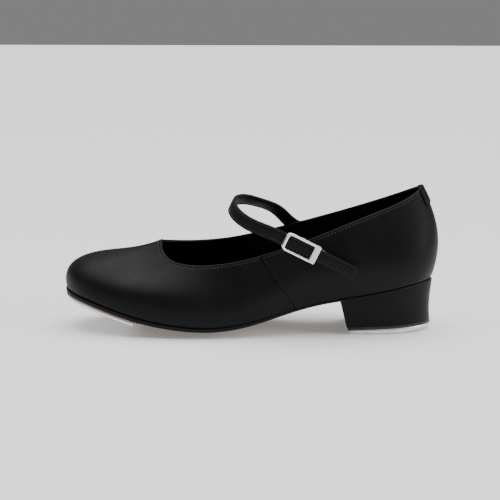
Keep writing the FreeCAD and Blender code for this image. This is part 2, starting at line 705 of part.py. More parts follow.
def hinge_frame():
    """Where the strap bends at its root: point, way along the strap, way across it and outward."""
    _, along, up, normal = surface_frame(HINGE_U, HINGE_V)
    middle = offset(HINGE_U, HINGE_V, STRAP_LIFT)
    way = (along + up).normalize()
    across = normal.cross(way)
    if across.z < 0:
        across = across * -1.0
    return middle, way, across.normalize(), normal


def strap_knots():
    middle, way, across, _ = hinge_frame()
    knots = [(middle + way * RUN_GAP, across), (middle + way * 7.0, across)]
    for place, up in STRAP_ROUTE:
        knots.append((V(place[0] * KX, place[1] * KY, place[2] * KZ), V(*up)))
    for along in STRAIGHT:
        knots.append((BUCKLE_CENTRE + STRAP_WAY * along, STRAP_UP))
    return knots


def strap_curve():
    """Functions of distance for the strap's middle and its width direction, and the total."""
    knots = strap_knots()
    places = [0.0]
    for before, after in zip(knots, knots[1:]):
        places.append(places[-1] + (after[0] - before[0]).Length)
    middles = []
    acrosses = []
    for axis in range(3):
        middles.append(natural_spline([(s, knot[0][axis]) for s, knot in zip(places, knots)]))
        acrosses.append(natural_spline([(s, knot[1][axis]) for s, knot in zip(places, knots)]))

    def middle(s):
        return V(*[curve(s) for curve in middles])

    def frame(s):
        step = 0.05
        way = (middle(s + step) - middle(s - step)).normalize()
        across = V(*[curve(s) for curve in acrosses])
        across = (across - way * across.dot(way)).normalize()
        return middle(s), across, way.cross(across)

    return frame, places[-1]


def make_strap():
    frame, length = strap_curve()

    def sheet(depth):
        def at(s, share):
            middle, across, out = frame(s)
            return middle + across * (share * STRAP_WIDTH / 2) + out * depth
        return at

    stations = spread(0.0, length, 56)
    shares = (-1.0, -0.33, 0.33, 1.0)
    half_gap = SEAM_GAP / 2
    pieces = {}
    pieces["strap_outer"] = thick_patch(sheet(STRAP_PLY), sheet(half_gap), stations, shares)
    pieces["strap_lining"] = thick_patch(sheet(-half_gap), sheet(-STRAP_PLY), stations, shares)
    return pieces


ANCHOR_LENGTH = 19.0


def make_anchor():
    """The strap's root: a leather patch stitched to the outside of the medial quarter."""
    middle, way, across, _ = hinge_frame()

    def sheet(depth):
        def at(s, share):
            point = middle - way * s + across * (share * STRAP_WIDTH / 2)
            u, v = wall_at(point, HINGE_U, HINGE_V)
            return offset(u, v, depth)
        return at

    top = 2 * STRAP_PLY + SEAM_GAP
    return thick_patch(sheet(top), sheet(SEAM_GAP), spread(RUN_GAP, ANCHOR_LENGTH, 9), spread(-1.0, 1.0, 5))


# ---------------------------------------------------------------- buckle, ring and closure tab
PLATE_LOW = STRAP_PLY + RUN_GAP
BAR_TOP = -PLATE_LOW
BAR_THICKNESS = 1.5
BAR_HALF = 1.5
FORK_CLEAR = STRAP_WIDTH / 2 + RUN_GAP
RAIL_OUT = BUCKLE_WIDTH / 2
LEFT_BAR = 3.0
RIGHT_PLATE = 4.5
RAIL = 1.7
HOOK_WIDTH = 3.8
HOOK_METAL = 1.0
HOOK_END = 6.8
HOOK_MOUTH = 1.0
RING_DROP = BAR_TOP - BAR_THICKNESS - RUN_GAP - RING_WIRE / 2
RING_FRONT = HOOK_END - HOOK_METAL - RUN_GAP - RING_WIRE / 2
RING_LENGTH = 12.2
RING_HALF = HOOK_WIDTH / 2 + RUN_GAP + RING_WIRE + 0.4
RING_CORNER = 1.3
RING_REAR = RING_FRONT + RING_LENGTH
LOOP_WALL = 1.0
LOOP_HOLE = RING_WIRE / 2 + 0.1
TAB_LENGTH = 17.0
TAB_WIDTH = 7.0
TAB_THICKNESS = 1.3


def place_on_strap(shape):
    """Move a shape drawn with x along the strap, y across it and z outward to the buckle's place."""
    out = STRAP_WAY.cross(STRAP_UP)
    matrix = FreeCAD.Matrix(STRAP_WAY.x, STRAP_UP.x, out.x, BUCKLE_CENTRE.x,
                            STRAP_WAY.y, STRAP_UP.y, out.y, BUCKLE_CENTRE.y,
                            STRAP_WAY.z, STRAP_UP.z, out.z, BUCKLE_CENTRE.z,
                            0, 0, 0, 1)
    moved = shape.copy()
    moved.transformShape(matrix)
    return moved


def fillet_upright(box, radius, test):
    """Round the edges along local z whose middle passes the test."""
    edges = []
    for edge in box.Edges:
        middle = edge.CenterOfMass
        upright = abs(edge.Vertexes[0].Z - edge.Vertexes[-1].Z) > 0.1
        if upright and test(middle):
            edges.append(edge)
    return box.makeFillet(radius, edges)


def make_buckle():
    half = BUCKLE_LENGTH / 2
    plate_top = PLATE_LOW + BUCKLE_PLATE
    plate = box_between(-half, half, -RAIL_OUT, RAIL_OUT, PLATE_LOW, plate_top)
    plate = fillet_upright(plate, 3.6, lambda p: p.x < 0)
    plate = fillet_upright(plate, 0.8, lambda p: p.x > half - 0.5 and abs(p.y) > RAIL_OUT - 0.5)
    window = box_between(-half + LEFT_BAR, half - RIGHT_PLATE, RAIL - RAIL_OUT, RAIL_OUT - RAIL, 0, 10)
    window = fillet_upright(window, 1.6, lambda p: p.x < 0)
    plate = plate.cut(window)
    bar_radius = BUCKLE_PLATE / 2 + 0.6
    bar_x = -half + bar_radius
    bar_reach = RAIL_OUT - 2.6
    bar_start = V(bar_x, -bar_reach, PLATE_LOW + bar_radius)
    bar = Part.makeCylinder(bar_radius, 2 * bar_reach, bar_start, V(0, 1, 0))
    body = plate.fuse(bar)
    low = BAR_TOP - BAR_THICKNESS
    for side in (-1, 1):
        near, far = sorted((side * FORK_CLEAR, side * RAIL_OUT))
        body = body.fuse(box_between(-BAR_HALF, BAR_HALF, near, far, low, plate_top - 0.3))
    body = body.fuse(box_between(-BAR_HALF, BAR_HALF, -RAIL_OUT, RAIL_OUT, low, BAR_TOP))
    grip = HOOK_WIDTH / 2
    hook_low = RING_DROP - RING_WIRE / 2 - RUN_GAP - HOOK_METAL
    body = body.fuse(box_between(0, HOOK_END, -grip, grip, low, low + HOOK_METAL))
    body = body.fuse(box_between(HOOK_END - HOOK_METAL, HOOK_END, -grip, grip, hook_low, low + HOOK_METAL))
    body = body.fuse(box_between(HOOK_MOUTH, HOOK_END, -grip, grip, hook_low, hook_low + HOOK_METAL))
    return place_on_strap(body.removeSplitter())


def make_ring():
    """A rectangle of wire with rounded corners."""
    c = RING_CORNER
    z = RING_DROP
    x0, x1, w = RING_FRONT, RING_REAR, RING_HALF
    k = c * (1.0 - math.sqrt(0.5))
    edges = [
        Part.makeLine(V(x0, 0, z), V(x0, w - c, z)),
        Part.Arc(V(x0, w - c, z), V(x0 + k, w - k, z), V(x0 + c, w, z)).toShape(),
        Part.makeLine(V(x0 + c, w, z), V(x1 - c, w, z)),
        Part.Arc(V(x1 - c, w, z), V(x1 - k, w - k, z), V(x1, w - c, z)).toShape(),
        Part.makeLine(V(x1, w - c, z), V(x1, -w + c, z)),
        Part.Arc(V(x1, -w + c, z), V(x1 - k, -w + k, z), V(x1 - c, -w, z)).toShape(),
        Part.makeLine(V(x1 - c, -w, z), V(x0 + c, -w, z)),
        Part.Arc(V(x0 + c, -w, z), V(x0 + k, -w + k, z), V(x0, -w + c, z)).toShape(),
        Part.makeLine(V(x0, -w + c, z), V(x0, 0, z)),
    ]
    path = Part.Wire(edges)
    section = Part.Wire([Part.makeCircle(RING_WIRE / 2, V(x0, 0, z), V(0, 1, 0))])
    return place_on_strap(path.makePipeShell([section], True, False))


def make_tab():
    """Leather tab stitched to the lateral quarter, with a loop round the ring's rear bar."""
    start = BUCKLE_CENTRE + STRAP_WAY * RING_REAR

    def sheet(depth):
        def at(s, share):
            point = start + STRAP_WAY * s + STRAP_UP * (share * TAB_WIDTH / 2)
            u, v = wall_at(point, LATERAL_SEAM + 1.4, 0.8)
            return offset(u, v, depth)
        return at

    face = SEAM_GAP + TAB_THICKNESS
    flap = thick_patch(sheet(face), sheet(SEAM_GAP), spread(0.0, TAB_LENGTH, 9), spread(-1.0, 1.0, 5))
    reach = RING_HALF - RING_CORNER - 0.1
    tube = Part.makeCylinder(LOOP_HOLE + LOOP_WALL, 2 * reach, V(RING_REAR, -reach, RING_DROP), V(0, 1, 0))
    hole = Part.makeCylinder(LOOP_HOLE, 4 * reach, V(RING_REAR, -2 * reach, RING_DROP), V(0, 1, 0))
    wall_drop = start.y - lateral_wall(start).y
    web_low = min(wall_drop + TAB_THICKNESS / 2, RING_DROP - LOOP_HOLE - LOOP_WALL / 2)
    web = box_between(RING_REAR, RING_REAR + LOOP_WALL, -reach, reach, web_low, RING_DROP - LOOP_HOLE)
    return flap.fuse(place_on_strap(tube.fuse(web))).cut(place_on_strap(hole))


# ---------------------------------------------------------------- all of it
def build():
    pieces = make_upper()
    pieces.update(make_linings())
    pieces.update(make_bottom())
    pieces.update(make_heel())
    fasten(pieces)
    pieces.update(make_strap())
    pieces["strap_anchor"] = make_anchor()
    pieces["buckle_frame"] = make_buckle()
    pieces["closure_ring"] = make_ring()
    pieces["closure_tab"] = make_tab()
    return pieces


def centre_on_box(pieces):
    """The move that puts the origin at the bottom centre of the whole shoe's box."""
    box = FreeCAD.BoundBox()
    for shape in pieces.values():
        box.add(shape.optimalBoundingBox(False, False))
    return V(-box.Center.x, -box.Center.y, -box.ZMin), box


def main():
    os.makedirs("parts", exist_ok=True)
    pieces = build()
    move, box = centre_on_box(pieces)
    for name, shape in pieces.items():
        shape.translate(move)
        shape.exportStep("parts/%s.step" % name)
        state = (name, len(shape.Solids), shape.isValid(), shape.Volume)
        print("%-24s solids %d valid %s volume %9.1f" % state)
    middle, _, across, normal = hinge_frame()
    print("box", box.XLength, box.YLength, box.ZLength, "move", move)
    print("hinge at", middle + normal * STRAP_PLY + move, "axis", across)
    print("buckle at", BUCKLE_CENTRE + move, "along", STRAP_WAY)


main()
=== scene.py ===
import math

import bmesh
import bpy
import numpy as np
from mathutils import Matrix, Vector


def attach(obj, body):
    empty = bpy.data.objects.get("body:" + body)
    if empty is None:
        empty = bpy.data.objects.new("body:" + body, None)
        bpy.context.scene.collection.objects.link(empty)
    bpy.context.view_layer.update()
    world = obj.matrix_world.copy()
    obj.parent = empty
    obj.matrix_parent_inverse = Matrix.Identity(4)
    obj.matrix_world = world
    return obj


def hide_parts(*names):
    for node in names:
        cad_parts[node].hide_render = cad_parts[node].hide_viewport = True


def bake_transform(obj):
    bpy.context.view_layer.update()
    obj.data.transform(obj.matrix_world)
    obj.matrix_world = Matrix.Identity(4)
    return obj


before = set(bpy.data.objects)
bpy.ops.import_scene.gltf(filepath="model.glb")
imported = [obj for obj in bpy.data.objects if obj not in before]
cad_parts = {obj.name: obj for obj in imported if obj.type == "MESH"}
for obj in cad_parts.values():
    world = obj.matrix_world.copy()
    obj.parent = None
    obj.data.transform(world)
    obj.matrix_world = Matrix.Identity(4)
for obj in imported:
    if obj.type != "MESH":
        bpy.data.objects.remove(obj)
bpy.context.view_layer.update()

# All shapes below are worked out in millimetres in the shoe's own drawing frame: X runs toe to heel, -Y is
# lateral and Z is up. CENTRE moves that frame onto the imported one.
MM = 0.001
CENTRE = Vector((0.2998, -0.1664, 0.0002))

# ------------------------------------------------------------------ sizes shared with the CAD model
UPPER = 1.2
LINING = 0.8
FEATHER_RADIUS = 2.4
SOLE_FORE = 2.8
SOLE_SEAT = 1.4
CROWN = 4.2
CROWN_REACH = 40.0
TAP = 2.4
TAP_BOARD = 0.8
TOE_TAP_END = -74.0
HEEL_BREAST = 59.8
HEEL_SLANT = 6.0
HEEL_LENGTH = 63.2
HEEL_WIDTH = 50.0
HEEL_TAP_FRONT = 2.4
HEEL_TAP_BACK = 4.8
HEEL_TAP_FLAT = 0.62
HEEL_TAP_RISE = 2.2
STRAP_WIDTH = 9.0
PLY = 1.1
GAP = 0.05
RUN = 0.3
WALL_REACH = 14.0          # a rib that reaches much further than this in plan lies over the foot
SOLE_THINS = (5.0, 60.0)   # the sole goes from fore thickness to seat thickness between these X
TURN_STEP = 0.001          # half steps, in ribs, that directions are taken over
FRAME_STEP = 0.004

# feather x, y | topline x, y, z | foot pull, lean | top pull, lean | crown: toe, lateral, heel, medial
RIBS = [
    (-127.0, 4.0, -61.5, 1.0, 59.6, 23.0, 15.0, 29.0, 66.0, 3.8),
    (-121.0, -14.5, -60.3, -5.5, 54.5, 23.0, 13.0, 29.0, 66.0, 4.2),
    (-104.0, -28.5, -57.0, -11.5, 50.8, 18.0, 8.0, 30.0, 61.0, 4.6),
    (-74.0, -38.0, -49.5, -19.5, 48.2, 16.0, 8.0, 22.0, 52.0, 3.0),
    (-36.0, -41.0, -33.0, -26.0, 47.5, 14.0, 10.0, 16.0, 34.0, 1.0),
    (-2.0, -36.5, -13.0, -29.0, 50.0, 14.0, 14.0, 16.0, 24.0, 0.0),
    (30.0, -29.0, 6.0, -30.0, 54.6, 15.0, 20.0, 17.0, 16.0, 0.0),
    (60.0, -26.5, 36.0, -28.5, 64.7, 16.0, 22.0, 18.0, 14.0, 0.0),
    (90.0, -26.0, 74.0, -23.5, 79.5, 17.0, 23.0, 20.0, 14.0, 0.0),
    (113.4, -18.6, 103.0, -14.5, 90.5, 18.0, 22.0, 23.0, 20.0, 0.0),
    (122.8, 0.0, 115.5, 0.0, 98.0, 18.0, 20.0, 25.0, 28.0, 0.0),
    (113.4, 18.6, 103.0, 14.5, 92.0, 18.0, 22.0, 23.0, 20.0, 0.0),
    (90.0, 26.0, 74.0, 23.5, 81.0, 17.0, 23.0, 20.0, 14.0, 0.0),
    (60.0, 25.0, 36.0, 28.5, 69.2, 16.0, 24.0, 18.0, 14.0, 0.0),
    (30.0, 24.5, 6.0, 30.5, 61.2, 15.0, 25.0, 18.0, 16.0, 0.0),
    (-2.0, 31.5, -13.0, 30.0, 57.3, 14.0, 16.0, 18.0, 24.0, 0.0),
    (-36.0, 40.0, -33.0, 27.0, 55.6, 14.0, 10.0, 18.0, 34.0, 1.0),
    (-74.0, 40.5, -49.5, 20.5, 56.3, 16.0, 8.0, 21.0, 52.0, 2.5),
    (-104.0, 33.5, -57.0, 13.0, 57.8, 19.0, 8.0, 25.0, 61.0, 3.6),
    (-121.0, 21.0, -60.3, 7.5, 59.0, 23.0, 13.0, 27.0, 66.0, 4.0),
]
COUNT = len(RIBS)
LATERAL_SEAM, BACK_SEAM, MEDIAL_SEAM = 6, 10, 14
SOLE_LINE = [(-130.0, 27.6), (-112.0, 21.6), (-94.0, 15.2), (-76.0, 9.3), (-52.0, 4.4), (-28.0, 2.9),
             (-4.0, 6.2), (20.0, 13.3), (44.0, 19.5), (64.0, 23.1), (92.0, 28.3), (122.0, 35.4),
             (135.0, 37.6)]
SOLE_EDGE = [(-130.0, 0.8), (-90.0, 0.2), (-30.0, -0.6), (10.0, -2.2), (40.0, -2.8), (62.0, -1.0),
             (90.0, -0.4), (125.0, -0.4)]


# ------------------------------------------------------------------ curves
def natural_spline(knots):
    xs = np.array([k[0] for k in knots], float)
    ys = np.array([k[1] for k in knots], float)
    n = len(xs)
    h = np.diff(xs)
    a = np.eye(n)
    b = np.zeros(n)
    for i in range(1, n - 1):
        a[i, i - 1:i + 2] = (h[i - 1], 2 * (h[i - 1] + h[i]), h[i])
        b[i] = 6 * ((ys[i + 1] - ys[i]) / h[i] - (ys[i] - ys[i - 1]) / h[i - 1])
    bend = np.linalg.solve(a, b)

    def value(x):
        i = min(max(int(np.searchsorted(xs, x)) - 1, 0), n - 2)
        left = xs[i + 1] - x
        right = x - xs[i]
        cubic = (bend[i] * left ** 3 + bend[i + 1] * right ** 3) / (6 * h[i])
        line = ((ys[i] / h[i] - bend[i] * h[i] / 6) * left
                + (ys[i + 1] / h[i] - bend[i + 1] * h[i] / 6) * right)
        return float(cubic + line)

    return value


def closed_spline(values):
    ys = np.array(values, float)
    n = len(ys)
    a = np.zeros((n, n))
    for i in range(n):
        a[i, (i - 1) % n] = a[i, (i + 1) % n] = 1
        a[i, i] = 4
    bend = np.linalg.solve(a, 6 * (np.roll(ys, -1) - 2 * ys + np.roll(ys, 1)))

    def value(u):
        i = int(math.floor(u)) % n
        t = u - math.floor(u)
        s = 1 - t
        j = (i + 1) % n
        return float(s * ys[i] + t * ys[j] + ((s ** 3 - s) * bend[i] + (t ** 3 - t) * bend[j]) / 6)

    return value


CURVES = [closed_spline([row[k] for row in RIBS]) for k in range(len(RIBS[0]))]
sole_line = natural_spline(SOLE_LINE)
sole_edge = natural_spline(SOLE_EDGE)


def smooth_step(x, start, end):
    t = min(max((x - start) / (end - start), 0.0), 1.0)
    return t * t * (3 - 2 * t)


def sole_height(x, y):
    return sole_line(x) + CROWN * (y / CROWN_REACH) ** 2


def sole_bottom(x, y):
    thick = SOLE_FORE + (SOLE_SEAT - SOLE_FORE) * smooth_step(x, *SOLE_THINS)
    return sole_height(x, y) - thick - GAP


def feather(u):
    x, y = CURVES[0](u), CURVES[1](u)
    return Vector((x, y, sole_height(x, y)))


def plan_normal(u):
    run = feather(u + TURN_STEP) - feather(u - TURN_STEP)
    return Vector((run.y, -run.x, 0)).normalized()


POLES = {}


def rib_poles(u):
    """Five control points of the wall curve at u, from feather to topline."""
    key = round(u % COUNT, 6)
    if key in POLES:
        return POLES[key]
    row = [curve(u) for curve in CURVES]
    foot_pull, top_pull, crown = row[5], row[7], row[9]
    foot_lean, top_lean = math.radians(row[6]), math.radians(row[8])
    n = plan_normal(u)
    foot = feather(u)
    top = Vector(row[2:5])
    across = Vector((foot.x - top.x, foot.y - top.y, 0))
    reach = across.dot(n)
    slant = (across - n * reach) / (top.z - foot.z)
    share = 1 - math.exp(-(reach / WALL_REACH) ** 2)
    foot_rise = foot_pull * math.cos(foot_lean)
    top_fall = top_pull * math.cos(top_lean)
    above = (foot + n * (foot_pull * math.sin(foot_lean)) + Vector((0, 0, foot_rise))
             - slant * (foot_rise * (1 - share)))
    way = (n * (1 - share) + across * (share / max(across.length, 0.001))).normalized()
    below = (top + way * (top_pull * math.sin(top_lean)) - Vector((0, 0, top_fall))
             + slant * (top_fall * (1 - share)))
    run = below - above
    flat = max(math.hypot(run.x, run.y), 0.001)
    rise = Vector((-run.x / flat * run.z, -run.y / flat * run.z, flat)).normalized()
    POLES[key] = (foot, above, (above + below) * 0.5 + rise * crown, below, top)
    return POLES[key]


def rib_point(u, t):
    """Point at t on the wall's quartic Bezier curve."""
    s = 1 - t
    weights = (s ** 4, 4 * s ** 3 * t, 6 * s * s * t * t, 4 * s * t ** 3, t ** 4)
    return sum((pole * w for pole, w in zip(rib_poles(u), weights)), Vector())


def outer(u, v):
    """Outside of the upper: v -1..0 turns round the feather corner, 0..1 climbs the wall."""
    poles = rib_poles(u)
    corner = FEATHER_RADIUS / (4 * (poles[1] - poles[0]).length)
    if v >= 0:
        return rib_point(u, corner + (1 - corner) * v)
    n = plan_normal(u)
    under = poles[0] - n * FEATHER_RADIUS
    under.z = sole_height(under.x, under.y)
    t = v + 1
    return under * ((1 - t) ** 2) + poles[0] * (2 * t * (1 - t)) + rib_point(u, corner) * (t * t)


FRAMES = {}


def surface_frame(u, v):
    """Point, direction along u, direction up the wall, outward normal and wall length per unit of v."""
    key = (round(u, 5), round(v, 5))
    if key not in FRAMES:
        low, high = max(v - FRAME_STEP, -1.0), min(v + FRAME_STEP, 1.0)
        along = outer(u + FRAME_STEP, v) - outer(u - FRAME_STEP, v)
        up = outer(u, high) - outer(u, low)
        FRAMES[key] = (outer(u, v), along.normalized(), up.normalized(), along.cross(up).normalized(),
                       up.length / (high - low))
    return FRAMES[key]


def offset(u, v, distance):
    point, _, _, normal, _ = surface_frame(u, v)
    return point + normal * distance


def below_edge(u, distance):
    """v at a distance in mm below the topline."""
    return 1 - distance / surface_frame(u, 1.0)[4]


def spread(start, end, count):
    return [start + (end - start) * i / (count - 1) for i in range(count)]


# ------------------------------------------------------------------ meshes
def mesh_object(name, points, faces, material):
    mesh = bpy.data.meshes.new(name)
    mesh.from_pydata([tuple((p + CENTRE) * MM) for p in points], [], faces)
    mesh.validate()
    mesh.update()
    for poly in mesh.polygons:
        poly.use_smooth = True
    obj = bpy.data.objects.new(name, mesh)
    bpy.context.scene.collection.objects.link(obj)
    obj.data.materials.append(material)
    return obj


def outward(obj):
    """Turn every face to point out of its solid."""
    work = bmesh.new()
    work.from_mesh(obj.data)
    bmesh.ops.recalc_face_normals(work, faces=work.faces)
    work.to_mesh(obj.data)
    work.free()
    return obj


def sweep(sections, closed_path=False):
    """Points and faces of rings joined in a row, each ring closed. An open row gets a cap at each end."""
    size = len(sections[0])
    points = [p for ring in sections for p in ring]
    faces = []
    last = len(sections) if closed_path else len(sections) - 1
    for i in range(last):
        a = i * size
        b = ((i + 1) % len(sections)) * size
        for k in range(size):
            m = (k + 1) % size
            faces.append((a + k, a + m, b + m, b + k))
    if not closed_path:
        faces.append(tuple(range(size - 1, -1, -1)))
        faces.append(tuple(range(len(points) - size, len(points))))
    return points, faces


THREAD_SIDES = 6
THREAD_PROFILE = ((-1.0, 0.35), (-0.72, 0.85), (-0.2, 1.0), (0.2, 1.0), (0.72, 0.85), (1.0, 0.35))
THREAD_SINK = 0.12         # depth of a thread's middle below the line it is laid on
THREAD_DIP = 1.3           # how far its ends go in, in radii
LOOK_AHEAD = 0.3


def stitches(name, line, pitch=2.5, length=1.75, radius=0.27):
    """A row of short thick threads. line is a list of (point, normal)."""
    places = [0.0]
    for (p, _), (q, _) in zip(line, line[1:]):
        places.append(places[-1] + (q - p).length)
    total = places[-1]
    number = max(int(total / pitch), 1)
    step = total / number

    def at(s):
        s = min(max(s, 0.0), total)
        i = min(max(int(np.searchsorted(places, s)) - 1, 0), len(line) - 2)
        t = (s - places[i]) / max(places[i + 1] - places[i], 1e-6)
        return line[i][0].lerp(line[i + 1][0], t), line[i][1].lerp(line[i + 1][1], t).normalized()

    points, faces = [], []
    sides = THREAD_SIDES
    for i in range(number):
        middle = (i + 0.5) * step
        ahead, _ = at(middle + LOOK_AHEAD)
        behind, _ = at(middle - LOOK_AHEAD)
        way = (ahead - behind).normalized()
        base = len(points)
        for share, fat in THREAD_PROFILE:
            place, normal = at(middle + share * length / 2)
            side = normal.cross(way).normalized()
            dip = abs(share) ** 3 * radius * THREAD_DIP
            for k in range(sides):
                angle = 2 * math.pi * k / sides
                points.append(place + normal * (radius * fat * math.sin(angle) - THREAD_SINK - dip)
                              + side * (radius * fat * math.cos(angle)))
        rings = len(THREAD_PROFILE)
        for j in range(rings - 1):
            for k in range(sides):
                m = (k + 1) % sides
                a = base + j * sides
                faces.append((a + k, a + m, a + sides + m, a + sides + k))
        faces.append(tuple(base + k for k in range(sides - 1, -1, -1)))
        faces.append(tuple(base + (rings - 1) * sides + k for k in range(sides)))
    return outward(mesh_object(name, points, faces, THREAD))


# ------------------------------------------------------------------ materials
def new_material(name):
    material = bpy.data.materials.new(name)
    material.use_nodes = True
    tree = material.node_tree
    shader = tree.nodes["Principled BSDF"]
    return material, tree, shader


def node(tree, kind, **values):
    made = tree.nodes.new(kind)
    for key, value in values.items():
        if hasattr(made, key):
            setattr(made, key, value)
        else:
            made.inputs[key.replace("_", " ")].default_value = value
    return made


def ramp(tree, source, low, high, start=0.0, end=1.0):
    """A two-colour ramp; low and high are colours or grey numbers."""
    made = tree.nodes.new("ShaderNodeValToRGB")
    first, second = made.color_ramp.elements
    first.position, second.position = start, end
    first.color = low if isinstance(low, tuple) else (low, low, low, 1)
    second.color = high if isinstance(high, tuple) else (high, high, high, 1)
    tree.links.new(source, made.inputs["Fac"])
    return made.outputs["Color"]


def object_position(tree):
    return tree.nodes.new("ShaderNodeTexCoord").outputs["Object"]


def bump_chain(tree, shader, layers):
    """Bumps on top of each other: (height socket, strength, distance in metres)."""
    normal = None
    for height, strength, distance in layers:
        bump = node(tree, "ShaderNodeBump", Strength=strength, Distance=distance)
        tree.links.new(height, bump.inputs["Height"])
        if normal:
            tree.links.new(normal, bump.inputs["Normal"])
        normal = bump.outputs["Normal"]
    tree.links.new(normal, shader.inputs["Normal"])


LEATHER_FOLDS, LEATHER_CLOUD, LEATHER_WARP = 85.0, 22.0, 240.0    # noise scales
WARP_AMOUNT = 0.0009
FOLD_STRENGTH, FOLD_DEPTH = 0.18, 0.0009
PORE_DEPTH, PORE_EDGE, CELL_DEPTH = 0.00012, 0.22, 0.0001
LEATHER_GLOSS, SOLE_GLOSS, CLOTH_GLOSS = 0.14, 0.2, 0.1
SMUDGE_SCALE, PIT_SCALE, PIT_EDGE = 110.0, 700.0, 0.3
SCRATCH_SCALE, SCRATCH_STRETCH = 900.0, 0.12
WEAVE_SCALE = 1600.0


def leather(name, dark, light, rough=(0.42, 0.54), grain=1500.0, strength=0.22):
    """Smooth grained leather: soft folds under fine, slightly bent pores."""
    material, tree, shader = new_material(name)
    where = object_position(tree)
    cells = node(tree, "ShaderNodeTexVoronoi", feature="DISTANCE_TO_EDGE", Scale=grain)
    cells_far = node(tree, "ShaderNodeTexVoronoi", feature="F1", Scale=grain * 0.62)
    folds = node(tree, "ShaderNodeTexNoise", Scale=LEATHER_FOLDS, Detail=5.0, Roughness=0.6)
    cloud = node(tree, "ShaderNodeTexNoise", Scale=LEATHER_CLOUD, Detail=3.0)
    warp = node(tree, "ShaderNodeTexNoise", Scale=LEATHER_WARP, Detail=2.0)
    mix = node(tree, "ShaderNodeVectorMath", operation="MULTIPLY_ADD")
    mix.inputs[1].default_value = (WARP_AMOUNT, WARP_AMOUNT, WARP_AMOUNT)
    for made in (folds, cloud, warp):
        tree.links.new(where, made.inputs["Vector"])
    tree.links.new(warp.outputs["Color"], mix.inputs[0])
    tree.links.new(where, mix.inputs[2])
    for made in (cells, cells_far):
        tree.links.new(mix.outputs["Vector"], made.inputs["Vector"])
    colour = ramp(tree, cloud.outputs["Fac"], dark, light, 0.3, 0.75)
    tree.links.new(colour, shader.inputs["Base Color"])
    roughness = ramp(tree, folds.outputs["Fac"], rough[0], rough[1], 0.3, 0.7)
    tree.links.new(roughness, shader.inputs["Roughness"])
    pores = ramp(tree, cells.outputs["Distance"], 0.0, 1.0, 0.0, PORE_EDGE)
    bump_chain(tree, shader, ((folds.outputs["Fac"], FOLD_STRENGTH, FOLD_DEPTH),
                              (pores, strength, PORE_DEPTH),
                              (cells_far.outputs["Distance"], strength * 0.6, CELL_DEPTH)))
    shader.inputs["Specular IOR Level"].default_value = LEATHER_GLOSS
    return material


def cloth(name, dark, light):
    """Brushed lining: fine crossed threads with a soft nap."""
    material, tree, shader = new_material(name)
    where = object_position(tree)
    warp = node(tree, "ShaderNodeTexWave", Scale=WEAVE_SCALE / 6, Distortion=1.5, bands_direction="X")
    weft = node(tree, "ShaderNodeTexWave", Scale=WEAVE_SCALE / 6, Distortion=1.5, bands_direction="Z")
    nap = node(tree, "ShaderNodeTexNoise", Scale=WEAVE_SCALE, Detail=4.0)
    for made in (warp, weft, nap):
        tree.links.new(where, made.inputs["Vector"])
    both = node(tree, "ShaderNodeMath", operation="ADD")
    tree.links.new(warp.outputs["Fac"], both.inputs[0])
    tree.links.new(weft.outputs["Fac"], both.inputs[1])
    tree.links.new(ramp(tree, nap.outputs["Fac"], dark, light, 0.3, 0.7), shader.inputs["Base Color"])
    tree.links.new(ramp(tree, nap.outputs["Fac"], 0.8, 0.95), shader.inputs["Roughness"])
    bump_chain(tree, shader, ((both.outputs["Value"], 0.12, 0.0001), (nap.outputs["Fac"], 0.3, 0.0002)))
    shader.inputs["Specular IOR Level"].default_value = CLOTH_GLOSS
    return material


def metal(name, dark, light, rough, strength=0.1, pits=0.0):
    """Bare or plated metal with fine scratches, smudges and, on cast taps, small pits."""
    material, tree, shader = new_material(name)
    where = object_position(tree)
    lines = node(tree, "ShaderNodeTexNoise", Scale=SCRATCH_SCALE, Detail=3.0, Distortion=0.6)
    stretch = node(tree, "ShaderNodeMapping")
    stretch.inputs["Scale"].default_value = (SCRATCH_STRETCH, 1.0, 1.0)
    smudge = node(tree, "ShaderNodeTexNoise", Scale=SMUDGE_SCALE, Detail=4.0)
    spots = node(tree, "ShaderNodeTexVoronoi", feature="F1", Scale=PIT_SCALE)
    tree.links.new(where, stretch.inputs["Vector"])
    tree.links.new(stretch.outputs["Vector"], lines.inputs["Vector"])
    for made in (smudge, spots):
        tree.links.new(where, made.inputs["Vector"])
    tree.links.new(ramp(tree, smudge.outputs["Fac"], dark, light, 0.25, 0.75), shader.inputs["Base Color"])
    roughness = ramp(tree, smudge.outputs["Fac"], rough[0], rough[1], 0.3, 0.75)
    tree.links.new(roughness, shader.inputs["Roughness"])
    layers = [(lines.outputs["Fac"], strength, 0.0001)]
    if pits:
        layers.append((ramp(tree, spots.outputs["Distance"], 0.0, 1.0, 0.0, PIT_EDGE), pits, PORE_DEPTH))
    bump_chain(tree, shader, layers)
    shader.inputs["Metallic"].default_value = 1.0
    return material


def fibre(name, dark, light, scale=900.0, rough=(0.75, 0.95), strength=0.35):
    """Board, cork, wood or rubber: mottled and matt."""
    material, tree, shader = new_material(name)
    where = object_position(tree)
    grain = node(tree, "ShaderNodeTexNoise", Scale=scale, Detail=6.0, Roughness=0.7)
    blotch = node(tree, "ShaderNodeTexNoise", Scale=scale / 12, Detail=3.0)
    for made in (grain, blotch):
        tree.links.new(where, made.inputs["Vector"])
    tree.links.new(ramp(tree, blotch.outputs["Fac"], dark, light, 0.3, 0.7), shader.inputs["Base Color"])
    tree.links.new(ramp(tree, grain.outputs["Fac"], rough[0], rough[1]), shader.inputs["Roughness"])
    bump_chain(tree, shader, ((grain.outputs["Fac"], strength, 0.0002),))
    return material


TAN_STARTS, TAN_FULL = -0.72, -0.88     # the normal's Z where black gives way to tan


